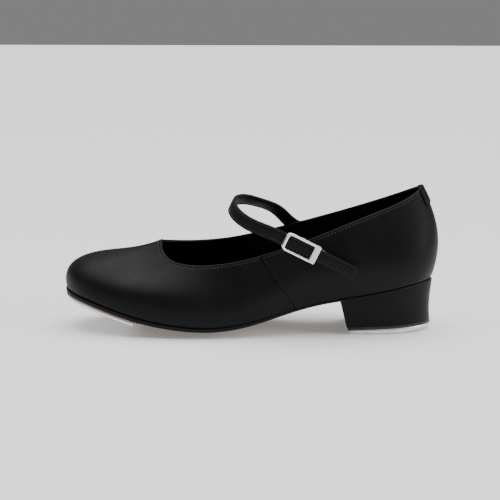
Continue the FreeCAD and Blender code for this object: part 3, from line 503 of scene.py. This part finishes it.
def sole_material():
    """Sole leather: blackened, burnished edge and, ahead of the heel, a scuffed tan underside."""
    material, tree, shader = new_material("sole_leather_look")
    where = object_position(tree)
    facing = tree.nodes.new("ShaderNodeNewGeometry")
    parts = tree.nodes.new("ShaderNodeSeparateXYZ")
    tree.links.new(facing.outputs["Normal"], parts.inputs["Vector"])
    grain = node(tree, "ShaderNodeTexNoise", Scale=700.0, Detail=6.0, Roughness=0.65)
    scuff = node(tree, "ShaderNodeTexNoise", Scale=60.0, Detail=5.0, Roughness=0.7)
    for made in (grain, scuff):
        tree.links.new(where, made.inputs["Vector"])
    tan = ramp(tree, scuff.outputs["Fac"], (0.16, 0.10, 0.06, 1), (0.36, 0.25, 0.16, 1), 0.3, 0.7)
    black = ramp(tree, scuff.outputs["Fac"], (0.0025, 0.0025, 0.0025, 1), (0.006, 0.0058, 0.0058, 1),
                 0.3, 0.7)
    under = node(tree, "ShaderNodeMapRange")
    under.inputs["From Min"].default_value = TAN_STARTS
    under.inputs["From Max"].default_value = TAN_FULL
    tree.links.new(parts.outputs["Z"], under.inputs["Value"])
    spot = tree.nodes.new("ShaderNodeSeparateXYZ")
    tree.links.new(where, spot.inputs["Vector"])
    ahead = node(tree, "ShaderNodeMath", operation="LESS_THAN")
    ahead.inputs[1].default_value = (HEEL_BREAST + HEEL_SLANT / 2 + CENTRE.x) * MM
    tree.links.new(spot.outputs["X"], ahead.inputs[0])
    bare = node(tree, "ShaderNodeMath", operation="MULTIPLY")
    tree.links.new(under.outputs["Result"], bare.inputs[0])
    tree.links.new(ahead.outputs["Value"], bare.inputs[1])
    mix = tree.nodes.new("ShaderNodeMix")
    mix.data_type = "RGBA"
    tree.links.new(bare.outputs["Value"], mix.inputs["Factor"])
    tree.links.new(black, mix.inputs[6])
    tree.links.new(tan, mix.inputs[7])
    tree.links.new(mix.outputs[2], shader.inputs["Base Color"])
    tree.links.new(ramp(tree, scuff.outputs["Fac"], 0.5, 0.75), shader.inputs["Roughness"])
    shader.inputs["Specular IOR Level"].default_value = SOLE_GLOSS
    bump_chain(tree, shader, ((grain.outputs["Fac"], 0.2, 0.00015), (scuff.outputs["Fac"], 0.15, 0.0005)))
    return material


LEATHER = leather("upper_leather_look", (0.0026, 0.0026, 0.0028, 1), (0.0046, 0.0046, 0.005, 1))
STRAP_LEATHER = leather("strap_leather_look", (0.003, 0.003, 0.0032, 1), (0.0055, 0.0055, 0.006, 1),
                        grain=1700.0)
THREAD = fibre("thread_look", (0.014, 0.014, 0.014, 1), (0.04, 0.04, 0.04, 1), 3000.0, (0.5, 0.7), 0.3)
LINING_LOOK = cloth("lining_look", (0.004, 0.004, 0.004, 1), (0.010, 0.010, 0.010, 1))
SOLE_LOOK = sole_material()
TAP_LOOK = metal("tap_metal_look", (0.70, 0.70, 0.70, 1), (0.86, 0.86, 0.86, 1), (0.3, 0.45), pits=0.12)
CHROME = metal("buckle_chrome_look", (0.80, 0.80, 0.81, 1), (0.95, 0.95, 0.96, 1), (0.06, 0.16),
               strength=0.03)
SATIN = metal("buckle_satin_look", (0.62, 0.62, 0.63, 1), (0.78, 0.78, 0.78, 1), (0.3, 0.42), strength=0.12)
STEEL = metal("screw_steel_look", (0.45, 0.45, 0.46, 1), (0.66, 0.66, 0.66, 1), (0.25, 0.45), strength=0.15)
BOARD = fibre("tap_board_look", (0.30, 0.19, 0.15, 1), (0.46, 0.32, 0.27, 1))
CARD = fibre("insole_board_look", (0.36, 0.27, 0.19, 1), (0.52, 0.41, 0.30, 1))
CORK = fibre("filler_look", (0.10, 0.06, 0.04, 1), (0.26, 0.17, 0.10, 1), 500.0)
WOOD = fibre("heel_wood_look", (0.42, 0.30, 0.19, 1), (0.60, 0.46, 0.31, 1), 300.0, (0.5, 0.7), 0.2)
RUBBER = fibre("lift_rubber_look", (0.010, 0.010, 0.010, 1), (0.020, 0.020, 0.020, 1), 1200.0,
               (0.5, 0.7), 0.2)
STIFF = fibre("stiffener_look", (0.55, 0.52, 0.46, 1), (0.72, 0.69, 0.62, 1), 1500.0)

CAD_LOOKS = {
    "vamp_lining": LINING_LOOK, "quarter_lining_lateral": LINING_LOOK, "quarter_lining_medial": LINING_LOOK,
    "insock": LINING_LOOK, "toe_puff": STIFF, "heel_counter": STIFF, "insole_board": CARD,
    "bottom_filler": CORK,
    "shank": STEEL, "heel_cover": LEATHER, "heel_block": WOOD, "heel_lift": RUBBER, "toe_tap_board": BOARD,
    "toe_tap_screws": STEEL, "heel_tap_screws": STEEL, "closure_ring": CHROME, "closure_tab": STRAP_LEATHER,
    "back_tab": LEATHER,
}


def dress_cad():
    for name, look in CAD_LOOKS.items():
        obj = bpy.data.objects[name]
        obj.data.materials.clear()
        obj.data.materials.append(look)


# ------------------------------------------------------------------ upper
ROLL = (UPPER + LINING + GAP) / 2 + 0.05   # radius of the rolled topline
ROLL_PROUD = 0.08
STITCH_DROP = 2.3          # the stitch row runs this far below the topline
GROOVE_DEPTH, GROOVE_WIDTH = 0.34, 0.35
PLUMP_DEPTH, PLUMP_DROP, PLUMP_WIDTH = 0.10, 1.2, 0.8
SEAM_REACH = 1.2           # a panel's end turns in over this distance
SEAM_DEPTH = 0.55
EDGE_ZONE = 6.5            # below this drop the wall is evenly divided
INSIDE = -UPPER + 0.05
OUTSIDE_ROWS, INSIDE_ROWS = 26, 12
BAR_TACK_V, BAR_TACK_HALF = 0.885, 0.30
TAB_ROW_U, TAB_ROW_V = 0.36, (0.875, 0.985)


def panel_ring(u, end_distance):
    """Closed cross-section of a panel at u: outside up, over the rolled topline, inside down."""
    turn = 0.0
    if end_distance < SEAM_REACH:
        turn = SEAM_DEPTH * (1 - end_distance / SEAM_REACH) ** 2
    ring = [offset(u, v, -0.02 - turn) for v in (-1.0, -0.75, -0.5, -0.25)]
    high = below_edge(u, EDGE_ZONE)
    for share in spread(0.0, 1.0, OUTSIDE_ROWS):
        ring.append(offset(u, high * share, -turn))
    for drop in (5.0, 4.0, 3.2, 2.8, STITCH_DROP, 1.9, 1.5):
        groove = GROOVE_DEPTH * math.exp(-((drop - STITCH_DROP) / GROOVE_WIDTH) ** 2)
        plump = PLUMP_DEPTH * math.exp(-((drop - PLUMP_DROP) / PLUMP_WIDTH) ** 2)
        ring.append(offset(u, below_edge(u, drop), plump - groove - turn))
    top, _, up, normal, _ = surface_frame(u, 1.0)
    middle = top - normal * ROLL - up * ROLL
    for angle in spread(0.0, 180.0, 9):
        c, s = math.cos(math.radians(angle)), math.sin(math.radians(angle))
        ring.append(middle + normal * (ROLL + ROLL_PROUD - turn) * c + up * (ROLL + 0.02) * s)
    inner = -(2 * ROLL + 0.1)
    for drop in (1.6, 2.2, 2.8):
        ring.append(offset(u, below_edge(u, drop), inner + 0.1 * (drop - 1.6)))
    for drop in (3.0, EDGE_ZONE):
        ring.append(offset(u, below_edge(u, drop), INSIDE))
    for share in spread(1.0, 0.0, INSIDE_ROWS)[1:]:
        ring.append(offset(u, high * share, INSIDE))
    ring.append(offset(u, -0.5, -0.9))
    return ring


def panel(name, node_name, u0, u1, columns):
    """One leather panel of the upper, its ends turned in at the seams."""
    first, last = outer(u0, 0.5), outer(u0 + 0.01, 0.5)
    pace = (last - first).length / 0.01
    ends = [0.06 / pace, 0.25 / pace, 0.6 / pace, 1.2 / pace, 2.4 / pace]
    clear = 4.0 / pace
    us = [u0 + e for e in ends] + spread(u0 + clear, u1 - clear, columns) + [u1 - e for e in reversed(ends)]
    sections = [panel_ring(u, min(u - u0, u1 - u) * pace) for u in us]
    points, faces = sweep(sections)
    piece = outward(mesh_object(name, points, faces, LEATHER))
    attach(piece, "shoe")
    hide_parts(node_name)


def topline_stitches():
    parts = (("vamp_stitching", MEDIAL_SEAM, COUNT + LATERAL_SEAM),
             ("lateral_stitching", LATERAL_SEAM, BACK_SEAM),
             ("medial_stitching", BACK_SEAM, MEDIAL_SEAM))
    for name, u0, u1 in parts:
        line = []
        for u in spread(u0 + 0.04, u1 - 0.04, 120):
            v = below_edge(u, STITCH_DROP)
            line.append((offset(u, v, 0.02), surface_frame(u, v)[3]))
        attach(stitches(name, line), "shoe")


def make_upper():
    panel("vamp_leather", "vamp", MEDIAL_SEAM, COUNT + LATERAL_SEAM, 190)
    panel("quarter_lateral_leather", "quarter_lateral", LATERAL_SEAM, BACK_SEAM, 90)
    panel("quarter_medial_leather", "quarter_medial", BACK_SEAM, MEDIAL_SEAM, 90)
    topline_stitches()
    bar = []
    for share in spread(-1.0, 1.0, 12):
        u = BACK_SEAM + BAR_TACK_HALF * share
        bar.append((offset(u, BAR_TACK_V, 1.0), surface_frame(u, BAR_TACK_V)[3]))
    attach(stitches("back_tab_bar_tack", bar, 0.9, 1.1, 0.3), "shoe")
    for side in (-1, 1):
        row = []
        for v in spread(*TAB_ROW_V, 10):
            u = BACK_SEAM + side * TAB_ROW_U
            row.append((offset(u, v, 0.98), surface_frame(u, v)[3]))
        name = "back_tab_stitching_lateral" if side < 0 else "back_tab_stitching_medial"
        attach(stitches(name, row, 1.8, 1.4, 0.2), "shoe")


# ------------------------------------------------------------------ sole and taps
def plate(name, look, outline, top, bottom, bevels, rings):
    """A curved plate.

    The outline is a closed list of (x, y, inward normal). The bevels are (inset, share of height)."""
    count = len(outline)
    middle = Vector((sum(p[0] for p in outline) / count, sum(p[1] for p in outline) / count, 0))
    sections = []

    def ring(scale, inset, share):
        made = []
        for x, y, inward in outline:
            px, py = x + inward.x * inset, y + inward.y * inset
            px = middle.x + (px - middle.x) * scale
            py = middle.y + (py - middle.y) * scale
            made.append(Vector((px, py, bottom(px, py) + (top(px, py) - bottom(px, py)) * share)))
        return made

    for k in range(1, rings):
        sections.append(ring(k / rings, bevels[0][0], 1.0))
    for inset, share in bevels:
        sections.append(ring(1.0, inset, share))
    for k in range(rings - 1, 0, -1):
        sections.append(ring(k / rings, bevels[-1][0], 0.0))
    points, faces = sweep(sections)
    return outward(mesh_object(name, points, faces, look))


def sole_outline(extra=0.0, count=260):
    made = []
    for i in range(count):
        u = COUNT * i / count
        point = feather(u)
        n = plan_normal(u)
        point = point + n * (sole_edge(point.x) + extra)
        made.append((point.x, point.y, n * -1.0))
    return made


def make_outsole():
    bevels = ((0.35, 1.0), (0.1, 0.93), (0.0, 0.8), (0.0, 0.45), (0.12, 0.22), (0.45, 0.06), (1.0, 0.0))
    piece = plate("outsole_leather", SOLE_LOOK, sole_outline(),
                  lambda x, y: sole_height(x, y) - GAP, sole_bottom, bevels, 14)
    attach(piece, "shoe")
    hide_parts("outsole")


TAP_ARC_HALF, TAP_ARC_BOW = 81.5, 5.0
TAP_INSET, TAP_REAR_GAP, TAP_REAR_SCALE = -0.3, 0.8, 0.995


def tap_rear(y):
    """Rear edge of the toe tap: an arc bowed forward in the middle."""
    radius = (TAP_ARC_HALF ** 2 + TAP_ARC_BOW ** 2) / (2 * TAP_ARC_BOW)
    return TOE_TAP_END - TAP_ARC_BOW + radius - math.sqrt(radius ** 2 - y ** 2)


def make_toe_tap():
    inside = [(x, y, n) for x, y, n in sole_outline(TAP_INSET, 400) if x < tap_rear(y) - TAP_REAR_GAP]
    steps = [(Vector(here[:2]) - Vector(inside[i - 1][:2])).length for i, here in enumerate(inside)]
    start = steps.index(max(steps))
    outline = inside[start:] + inside[:start]
    y0, y1 = outline[-1][1], outline[0][1]
    for y in spread(y0, y1, 30):
        turn = Vector((-1, 0, 0))
        if abs(y - y0) < 1e-6 or abs(y - y1) < 1e-6:
            turn = Vector((-1, -math.copysign(1, y), 0)).normalized()
        outline.append((tap_rear(y), y * TAP_REAR_SCALE, turn))
    low = TAP_BOARD + GAP
    bevels = ((0.25, 1.0), (0.05, 0.9), (0.0, 0.62), (0.25, 0.3), (0.8, 0.06), (1.4, 0.0))
    piece = plate("toe_tap_metal", TAP_LOOK, outline, lambda x, y: sole_bottom(x, y) - low,
                  lambda x, y: sole_bottom(x, y) - low - TAP, bevels, 10)
    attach(piece, "shoe")
    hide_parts("toe_tap")


HEEL_TURN = 0.40           # share of the heel's length where its sides start to close
HEEL_ROUNDNESS = 2.05
HEEL_TAPER = 0.6           # the heel's foot is narrower than its top by this on each side
HEEL_ARC_STEPS, HEEL_FRONT_STEPS = 41, 12
HEEL_TAP_INSET = 0.1


def heel_foot_outline():
    """Outline of the heel at the floor, as (x, y)."""
    front = HEEL_BREAST + HEEL_SLANT + HEEL_TAP_INSET
    back = HEEL_BREAST + HEEL_LENGTH - HEEL_TAP_INSET
    half = HEEL_WIDTH / 2 - HEEL_TAP_INSET - HEEL_TAPER
    turn = HEEL_BREAST + HEEL_TURN * HEEL_LENGTH
    share = 2 / HEEL_ROUNDNESS
    points = [(front, -half), ((front + turn) / 2, -half)]
    for angle in spread(-90.0, 90.0, HEEL_ARC_STEPS):
        c = max(math.cos(math.radians(angle)), 0)
        s = math.sin(math.radians(angle))
        points.append((turn + (back - turn) * c ** share, half * math.copysign(abs(s) ** share, s)))
    points += [((front + turn) / 2, half), (front, half)]
    return points + [(front, y) for y in spread(half, -half, HEEL_FRONT_STEPS)[1:-1]]


def make_heel_tap():
    points = heel_foot_outline()
    outline = []
    for i, (x, y) in enumerate(points):
        before, after = points[i - 1], points[(i + 1) % len(points)]
        run = Vector((after[0] - before[0], after[1] - before[1], 0))
        outline.append((x, y, Vector((-run.y, run.x, 0)).normalized()))

    def top(x, y):
        return HEEL_TAP_FRONT + (HEEL_TAP_BACK - HEEL_TAP_FRONT) * (x - HEEL_BREAST) / HEEL_LENGTH

    def bottom(x, y):
        share = (x - HEEL_BREAST) / HEEL_LENGTH
        return HEEL_TAP_RISE * max(share - HEEL_TAP_FLAT, 0.0) / (1 - HEEL_TAP_FLAT)

    bevels = ((0.3, 1.0), (0.05, 0.93), (0.0, 0.6), (0.3, 0.34), (0.9, 0.08), (1.5, 0.0))
    piece = plate("heel_tap_metal", TAP_LOOK, outline, top, bottom, bevels, 14)
    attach(piece, "shoe")
    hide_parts("heel_tap")


# ------------------------------------------------------------------ strap
HINGE_U, HINGE_V = 13.10, 0.90
STRAP_ROUTE = [
    ((18.5, 29.0, 75.0), (0.55, -0.45, 0.70)), ((5.0, 20.5, 82.5), (0.30, -0.70, 0.66)),
    ((-6.0, 9.5, 86.5), (0.32, -0.55, 0.77)), ((-12.8, -4.5, 86.0), (0.42, -0.20, 0.88)),
    ((-10.8, -17.5, 81.8), (0.45, -0.10, 0.88)), ((-1.5, -28.5, 76.3), (0.44, -0.14, 0.88)),
]
BUCKLE = Vector((33.2, -36.8756, 62.0))
WAY = Vector((0.899, 0.0, -0.438)).normalized()
UP = Vector((0.438, 0.0, 0.899)).normalized()
OUT = WAY.cross(UP)
STRAIGHT = 18.0
TAIL = 40.2
ANCHOR_STEPS = (19.0, 14.0, 9.5, 4.5)   # distances before the hinge where the anchor lies on the wall
STRAP_ROWS, STRAP_STEP = 260, 0.05


def wall_at(point, u, v):
    """Place (u, v) on the wall that has the point's x and z, from a first guess."""
    for _ in range(12):
        here = outer(u, v)
        du = (outer(u + 0.01, v) - here) * 100
        dv = (outer(u, v + 0.01) - here) * 100
        dx, dz = point.x - here.x, point.z - here.z
        det = du.x * dv.z - dv.x * du.z
        u += (dx * dv.z - dv.x * dz) / det
        v += (du.x * dz - dx * du.z) / det
        v = min(max(v, 0.05), 0.98)
    return u, v


def hinge_frame():
    """Middle of the hinge, the strap's direction there and its width direction."""
    _, along, up, normal, _ = surface_frame(HINGE_U, HINGE_V)
    middle = offset(HINGE_U, HINGE_V, RUN + PLY)
    way = (along + up).normalized()
    across = normal.cross(way)
    if across.z < 0:
        across = across * -1
    return middle, way, across.normalized()


def strap_frames():
    """Rows of (middle, width direction, outward, distance) from the anchor's lower end to the tail.

    The second result is the distance at the hinge."""
    middle, way, across = hinge_frame()
    knots = []
    for s in ANCHOR_STEPS:
        u, v = wall_at(middle - way * s, HINGE_U, HINGE_V)
        knots.append((offset(u, v, GAP + PLY), across))
    knots += [(middle + way * 0.3, across), (middle + way * 7.0, across)]
    knots += [(Vector(p), Vector(w)) for p, w in STRAP_ROUTE]
    knots += [(BUCKLE + WAY * s, UP) for s in (-STRAIGHT, -9.0, 0.0, 9.0, 18.0, 28.0, TAIL)]
    places = [0.0]
    for before, after in zip(knots, knots[1:]):
        places.append(places[-1] + (after[0] - before[0]).length)
    middles = [natural_spline([(s, k[0][a]) for s, k in zip(places, knots)]) for a in range(3)]
    acrosses = [natural_spline([(s, k[1][a]) for s, k in zip(places, knots)]) for a in range(3)]
    made = []
    total = places[-1]
    for s in spread(0.0, total, STRAP_ROWS):
        place = Vector([c(s) for c in middles])
        ahead = (Vector([c(s + STRAP_STEP) for c in middles])
                 - Vector([c(s - STRAP_STEP) for c in middles]))
        way = ahead.normalized()
        across = Vector([c(s) for c in acrosses])
        across = (across - way * across.dot(way)).normalized()
        made.append((place, across, way.cross(across).normalized(), s))
    return made, places[len(ANCHOR_STEPS)]


# half of the strap's section: (share of half width, height over ply thickness) on the outer face
FACE = ((1.0, 0.32), (0.985, 0.62), (0.94, 0.86), (0.87, 0.98), (0.79, 1.0), (0.715, 0.74), (0.64, 0.99),
        (0.4, 1.04), (0.0, 1.06))


def strap_section(place, across, out, wide, thick):
    half = STRAP_WIDTH / 2 * wide
    outline = [(w, h) for w, h in FACE] + [(-w, h) for w, h in reversed(FACE[:-1])]
    under = [(-w, -h) for w, h in FACE] + [(w, -h) for w, h in reversed(FACE[:-1])]
    ring = outline + [(-0.975, 0.0)] + under + [(0.975, 0.0)]
    return [place + across * (w * half) + out * (h * PLY * thick) for w, h in ring]


BEND_END = 8.0             # the strap's root piece ends this far past the hinge
GROOVE_SHARE = 0.715       # the stitch grooves' place on the half width
ROW_END = 1.4              # stitch rows stop this far from the strap's ends


def strap_piece(name, frames, total):
    """Part of the strap. Its caps are flat, so where two parts meet their sides shade as one."""
    sections = []
    for place, across, out, s in frames:
        end = min(s, total - s)
        wide = 1.0 if end > 0.9 else 0.90 + 0.10 * math.sqrt(max(1 - (1 - end / 0.9) ** 2, 0))
        thick = 1.0 if end > 0.6 else 0.55 + 0.45 * math.sqrt(max(1 - (1 - end / 0.6) ** 2, 0))
        sections.append(strap_section(place, across, out, wide, thick))
    points, faces = sweep(sections)
    piece = outward(mesh_object(name, points, faces, STRAP_LEATHER))
    for poly in piece.data.polygons:
        if len(poly.vertices) > 4:
            poly.use_smooth = False
    return piece


def make_strap():
    """Two pieces that meet in one ring: a root that stays in place at the hinge, and the part that swings.
    """
    frames, root = strap_frames()
    total = frames[-1][3]
    split = min(range(len(frames)), key=lambda i: abs(frames[i][3] - root - BEND_END))
    border = frames[split][3]
    bending = [strap_piece("strap_root_leather", frames[:split + 1], total)]
    swinging = [strap_piece("strap_leather", frames[split:], total)]
    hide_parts("strap_outer", "strap_lining")
    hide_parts("strap_anchor")
    edge = STRAP_WIDTH / 2 * GROOVE_SHARE
    for side, label in ((-1, "lower"), (1, "upper")):
        row = [(p + a * (side * edge) + o * (PLY * 0.92), o, s) for p, a, o, s in frames]
        near = [(p, o) for p, o, s in row if ROW_END < s <= border]
        far = [(p, o) for p, o, s in row if border <= s < total - ROW_END]
        bending.append(stitches("strap_root_stitching_" + label, near, 2.4, 1.7, 0.26))
        swinging.append(stitches("strap_stitching_" + label, far, 2.4, 1.7, 0.26))

    def cross_row(name, frame_row):
        p, a, o, _ = frame_row
        line = [(p + a * (edge * t) + o * PLY, o) for t in spread(-0.9, 0.9, 8)]
        return stitches(name, line, 2.0, 1.6, 0.2)

    above_hinge = min(range(len(frames)), key=lambda i: abs(frames[i][3] - root + 2.5))
    swinging.append(cross_row("strap_tail_stitching", frames[-8]))
    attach(cross_row("anchor_stitching_low", frames[8]), "shoe")
    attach(cross_row("anchor_stitching_high", frames[above_hinge]), "shoe")
    for piece in swinging:
        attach(piece, "strap")
    middle, way, _ = hinge_frame()
    for piece in bending:
        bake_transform(piece)


# ------------------------------------------------------------------ buckle
LENGTH, WIDTH, PLATE = 25.2, 12.8, 1.4  # of the buckle's frame
LEFT_BAR, RIGHT_PLATE, RAIL = 3.0, 4.5, 1.7
PLATE_LOW = PLY + RUN
BAR = 1.5
RING_WIRE = 1.0
POST_HALF = 1.5            # half the width of the posts and cross bar, along the strap
HOOK_WIDTH, HOOK_METAL, HOOK_END, HOOK_MOUTH = 3.8, 1.0, 6.8, 1.0
HOOK_PROFILE = ((1, 0.35), (0.94, 0.5), (-0.94, 0.5), (-1, 0.35), (-1, -0.35), (-0.94, -0.5), (0.94, -0.5),
                (1, -0.35))


def on_strap(x, y, z):
    return BUCKLE + WAY * x + UP * y + OUT * z


def rounded_box(x0, x1, y0, y1, radii, steps):
    """Closed outline with corners (x0,y0), (x1,y0), (x1,y1), (x0,y1) and a radius at each."""
    corners = ((x0, y0, 1, 1, 180), (x1, y0, -1, 1, 270), (x1, y1, -1, -1, 0), (x0, y1, 1, -1, 90))
    arcs = []
    for (x, y, sx, sy, start), radius in zip(corners, radii):
        cx, cy = x + sx * radius, y + sy * radius
        arcs.append([(cx + radius * math.cos(math.radians(start + 90 * t)),
                      cy + radius * math.sin(math.radians(start + 90 * t))) for t in spread(0, 1, steps)])
    made = []
    for i, arc in enumerate(arcs):
        made += arc
        nxt = arcs[(i + 1) % 4][0]
        for t in spread(0, 1, 8)[1:-1]:
            made.append((arc[-1][0] + (nxt[0] - arc[-1][0]) * t, arc[-1][1] + (nxt[1] - arc[-1][1]) * t))
    return made


def make_buckle():
    half = LENGTH / 2
    outside = rounded_box(-half, half, -WIDTH / 2, WIDTH / 2, (3.6, 0.9, 0.9, 3.6), 9)
    inside = rounded_box(-half + LEFT_BAR, half - RIGHT_PLATE, RAIL - WIDTH / 2, WIDTH / 2 - RAIL,
                         (1.6, 0.35, 0.35, 1.6), 9)
    sections = []
    for (ox, oy), (ix, iy) in zip(outside, inside):
        left = smooth_step(-(ox + ix) / 2, half - 4.4, half - 2.4)
        right = smooth_step((ox + ix) / 2, half - 4.2, half - 2.6)
        ring = []
        width = math.hypot(ox - ix, oy - iy)
        lip = min(0.35 / width, 0.3)
        shares = (0.0, lip * 0.3, lip, 0.25, 0.5, 0.75, 1 - lip, 1 - lip * 0.3, 1.0)
        for share in shares:
            x, y = ox + (ix - ox) * share, oy + (iy - oy) * share
            arch = math.sin(math.pi * share)
            bevel = min(min(share, 1 - share) / lip, 1.0)
            rise = PLATE_LOW + 0.75 + (PLATE - 0.75) * math.sqrt(max(1 - (1 - bevel) ** 2, 0))
            rise += arch * (0.15 * (1 - left - right) + 1.15 * left) - (0.35 * left)
            ring.append(on_strap(x, y, rise))
        for share in (1.0, 0.5, 0.0):
            x, y = ox + (ix - ox) * share, oy + (iy - oy) * share
            ring.append(on_strap(x, y, PLATE_LOW + 0.02))
        sections.append(ring)
    points, faces = sweep(sections, closed_path=True)
    low = -PLATE_LOW - BAR

    def block(x0, x1, y0, y1, z0, z1, edge=0.22):
        base = len(points)
        for z, inset in ((z0, edge), (z0 + edge, 0.0), (z1 - edge, 0.0), (z1, edge)):
            for x, y in rounded_box(x0 + inset, x1 - inset, y0 + inset, y1 - inset, (edge,) * 4, 3):
                points.append(on_strap(x, y, z))
        size = (len(points) - base) // 4
        for j in range(3):
            for k in range(size):
                m = (k + 1) % size
                a = base + j * size
                faces.append((a + k, a + m, a + size + m, a + size + k))
        faces.append(tuple(base + k for k in range(size - 1, -1, -1)))
        faces.append(tuple(base + 3 * size + k for k in range(size)))

    for side in (-1, 1):
        near, far = sorted((side * (STRAP_WIDTH / 2 + RUN), side * (WIDTH / 2 - 0.05)))
        block(-POST_HALF, POST_HALF, near, far, low, PLATE_LOW + PLATE - 0.4)
    block(-POST_HALF, POST_HALF, -WIDTH / 2 + 0.05, WIDTH / 2 - 0.05, low, -PLATE_LOW)
    frame_piece = outward(mesh_object("buckle_metal", points, faces, CHROME))
    frame_piece.data.materials.append(SATIN)
    for poly in frame_piece.data.polygons:
        local = poly.center / MM - CENTRE - BUCKLE
        if local.dot(WAY) > half - RIGHT_PLATE - 0.05 and abs(poly.normal.dot(OUT)) > 0.9:
            poly.material_index = 1
    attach(frame_piece, "buckle")
    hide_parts("buckle_frame")
    make_hook(low)


def make_hook(low):
    """The hook under the cross bar, bent back round the ring."""
    hook_drop = -PLATE_LOW - BAR - RUN - RING_WIRE - RUN - HOOK_METAL
    top_z, low_z = low + HOOK_METAL / 2, hook_drop + HOOK_METAL / 2
    reach = HOOK_END - HOOK_METAL / 2
    bend = (top_z - low_z) / 2
    path = [(-0.6, top_z), (reach - bend, top_z)]
    for angle in spread(90.0, -90.0, 13)[1:-1]:
        path.append((reach - bend + bend * math.cos(math.radians(angle)),
                     (top_z + low_z) / 2 + bend * math.sin(math.radians(angle))))
    path += [(reach - bend, low_z), (HOOK_MOUTH + 1.2, low_z), (HOOK_MOUTH, low_z - 0.12)]
    rings = []
    for i, (x, z) in enumerate(path):
        before, after = path[max(i - 1, 0)], path[min(i + 1, len(path) - 1)]
        run = Vector((after[0] - before[0], after[1] - before[1])).normalized()
        nx, nz = -run.y, run.x
        ring = []
        for w, t in HOOK_PROFILE:
            ring.append(on_strap(x + nx * t * HOOK_METAL, w * HOOK_WIDTH / 2, z + nz * t * HOOK_METAL))
        rings.append(ring)
    points, faces = sweep(rings)
    hook = outward(mesh_object("buckle_hook", points, faces, CHROME))
    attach(hook, "buckle")


RING_LENGTH = 12.2
TAB_ROWS = (4.0, 15.8)     # the tab's stitch rows start and end this far behind the ring
TAB_ROW_HALF, TAB_ROW_LIFT = 2.6, 1.38


def tab_stitches():
    """Stitching that holds the closure tab to the quarter."""
    ring_rear = HOOK_END - HOOK_METAL - RUN - RING_WIRE / 2 + RING_LENGTH
    for name, side in (("tab_stitching_upper", 1), ("tab_stitching_lower", -1)):
        row = []
        for s in spread(*TAB_ROWS, 12):
            point = BUCKLE + WAY * (ring_rear + s) + UP * (side * TAB_ROW_HALF)
            u, v = wall_at(point, LATERAL_SEAM + 1.4, 0.8)
            row.append((offset(u, v, TAB_ROW_LIFT), surface_frame(u, v)[3]))
        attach(stitches(name, row, 2.2, 1.7, 0.2), "shoe")


# ------------------------------------------------------------------ studio
FLOOR_SIZE, FLOOR_DROP, FLOOR_GLOW = 6.0, 0.0002, 0.16
WORLD_STRENGTH = 0.22
SUN_POWER, SUN_SPREAD = 3.9, 70.0
SUN_TILT = (-8.0, 6.0)
LAMP_AIM = Vector((0, 0, 0.05))
# name, place, power, size
LAMPS = (("toe_light", (-0.8, -0.15, 0.9), 2.0, 0.6), ("heel_light", (0.95, -0.25, 0.35), 3.0, 0.35))


def make_studio():
    bpy.ops.mesh.primitive_plane_add(size=FLOOR_SIZE, location=(0, 0, -FLOOR_DROP))
    floor = bpy.context.object
    floor.name = "floor"
    look, _, shader = new_material("floor_look")
    shader.inputs["Base Color"].default_value = (0.93, 0.93, 0.93, 1)
    shader.inputs["Roughness"].default_value = 0.8
    shader.inputs["Emission Color"].default_value = (1, 1, 1, 1)
    shader.inputs["Emission Strength"].default_value = FLOOR_GLOW
    floor.data.materials.append(look)
    world = bpy.data.worlds.new("studio")
    world.use_nodes = True
    world.node_tree.nodes["Background"].inputs["Color"].default_value = (1, 1, 1, 1)
    world.node_tree.nodes["Background"].inputs["Strength"].default_value = WORLD_STRENGTH
    bpy.context.scene.world = world
    sun = bpy.data.lights.new("overhead", "SUN")
    sun.energy = SUN_POWER
    sun.angle = math.radians(SUN_SPREAD)
    lamp = bpy.data.objects.new("overhead", sun)
    lamp.rotation_euler = (math.radians(SUN_TILT[0]), math.radians(SUN_TILT[1]), 0)
    bpy.context.scene.collection.objects.link(lamp)
    for name, place, power, size in LAMPS:
        data = bpy.data.lights.new(name, "AREA")
        data.energy = power
        data.size = size
        lamp = bpy.data.objects.new(name, data)
        lamp.location = place
        aim = LAMP_AIM - Vector(place)
        lamp.rotation_euler = aim.to_track_quat("-Z", "Y").to_euler()
        bpy.context.scene.collection.objects.link(lamp)


CAMERA_DISTANCE = 1.1
CAMERA_ELEVATION = 10.91
CAMERA_TURN = 1.08
CAMERA_ROLL = 0.05
CAMERA_TARGET = Vector((-0.0007, 0.0, 0.0529))
FOCAL_SHARE = 3.218        # focal length over the frame's width
SENSOR = 36.0


def make_camera():
    data = bpy.data.cameras.new("camera")
    data.sensor_width = SENSOR
    data.lens = SENSOR * FOCAL_SHARE
    camera = bpy.data.objects.new("camera", data)
    lift = math.radians(CAMERA_ELEVATION)
    turn = math.radians(CAMERA_TURN)
    back = Vector((math.sin(turn) * math.cos(lift), -math.cos(turn) * math.cos(lift), math.sin(lift)))
    level = (-back).to_track_quat("-Z", "Y").to_matrix().to_4x4()
    place = Matrix.Translation(CAMERA_TARGET + back * CAMERA_DISTANCE)
    camera.matrix_world = place @ level @ Matrix.Rotation(math.radians(CAMERA_ROLL), 4, "Z")
    bpy.context.scene.collection.objects.link(camera)
    bpy.context.scene.camera = camera


dress_cad()
make_upper()
make_outsole()
make_toe_tap()
make_heel_tap()
make_strap()
make_buckle()
tab_stitches()
make_studio()
make_camera()
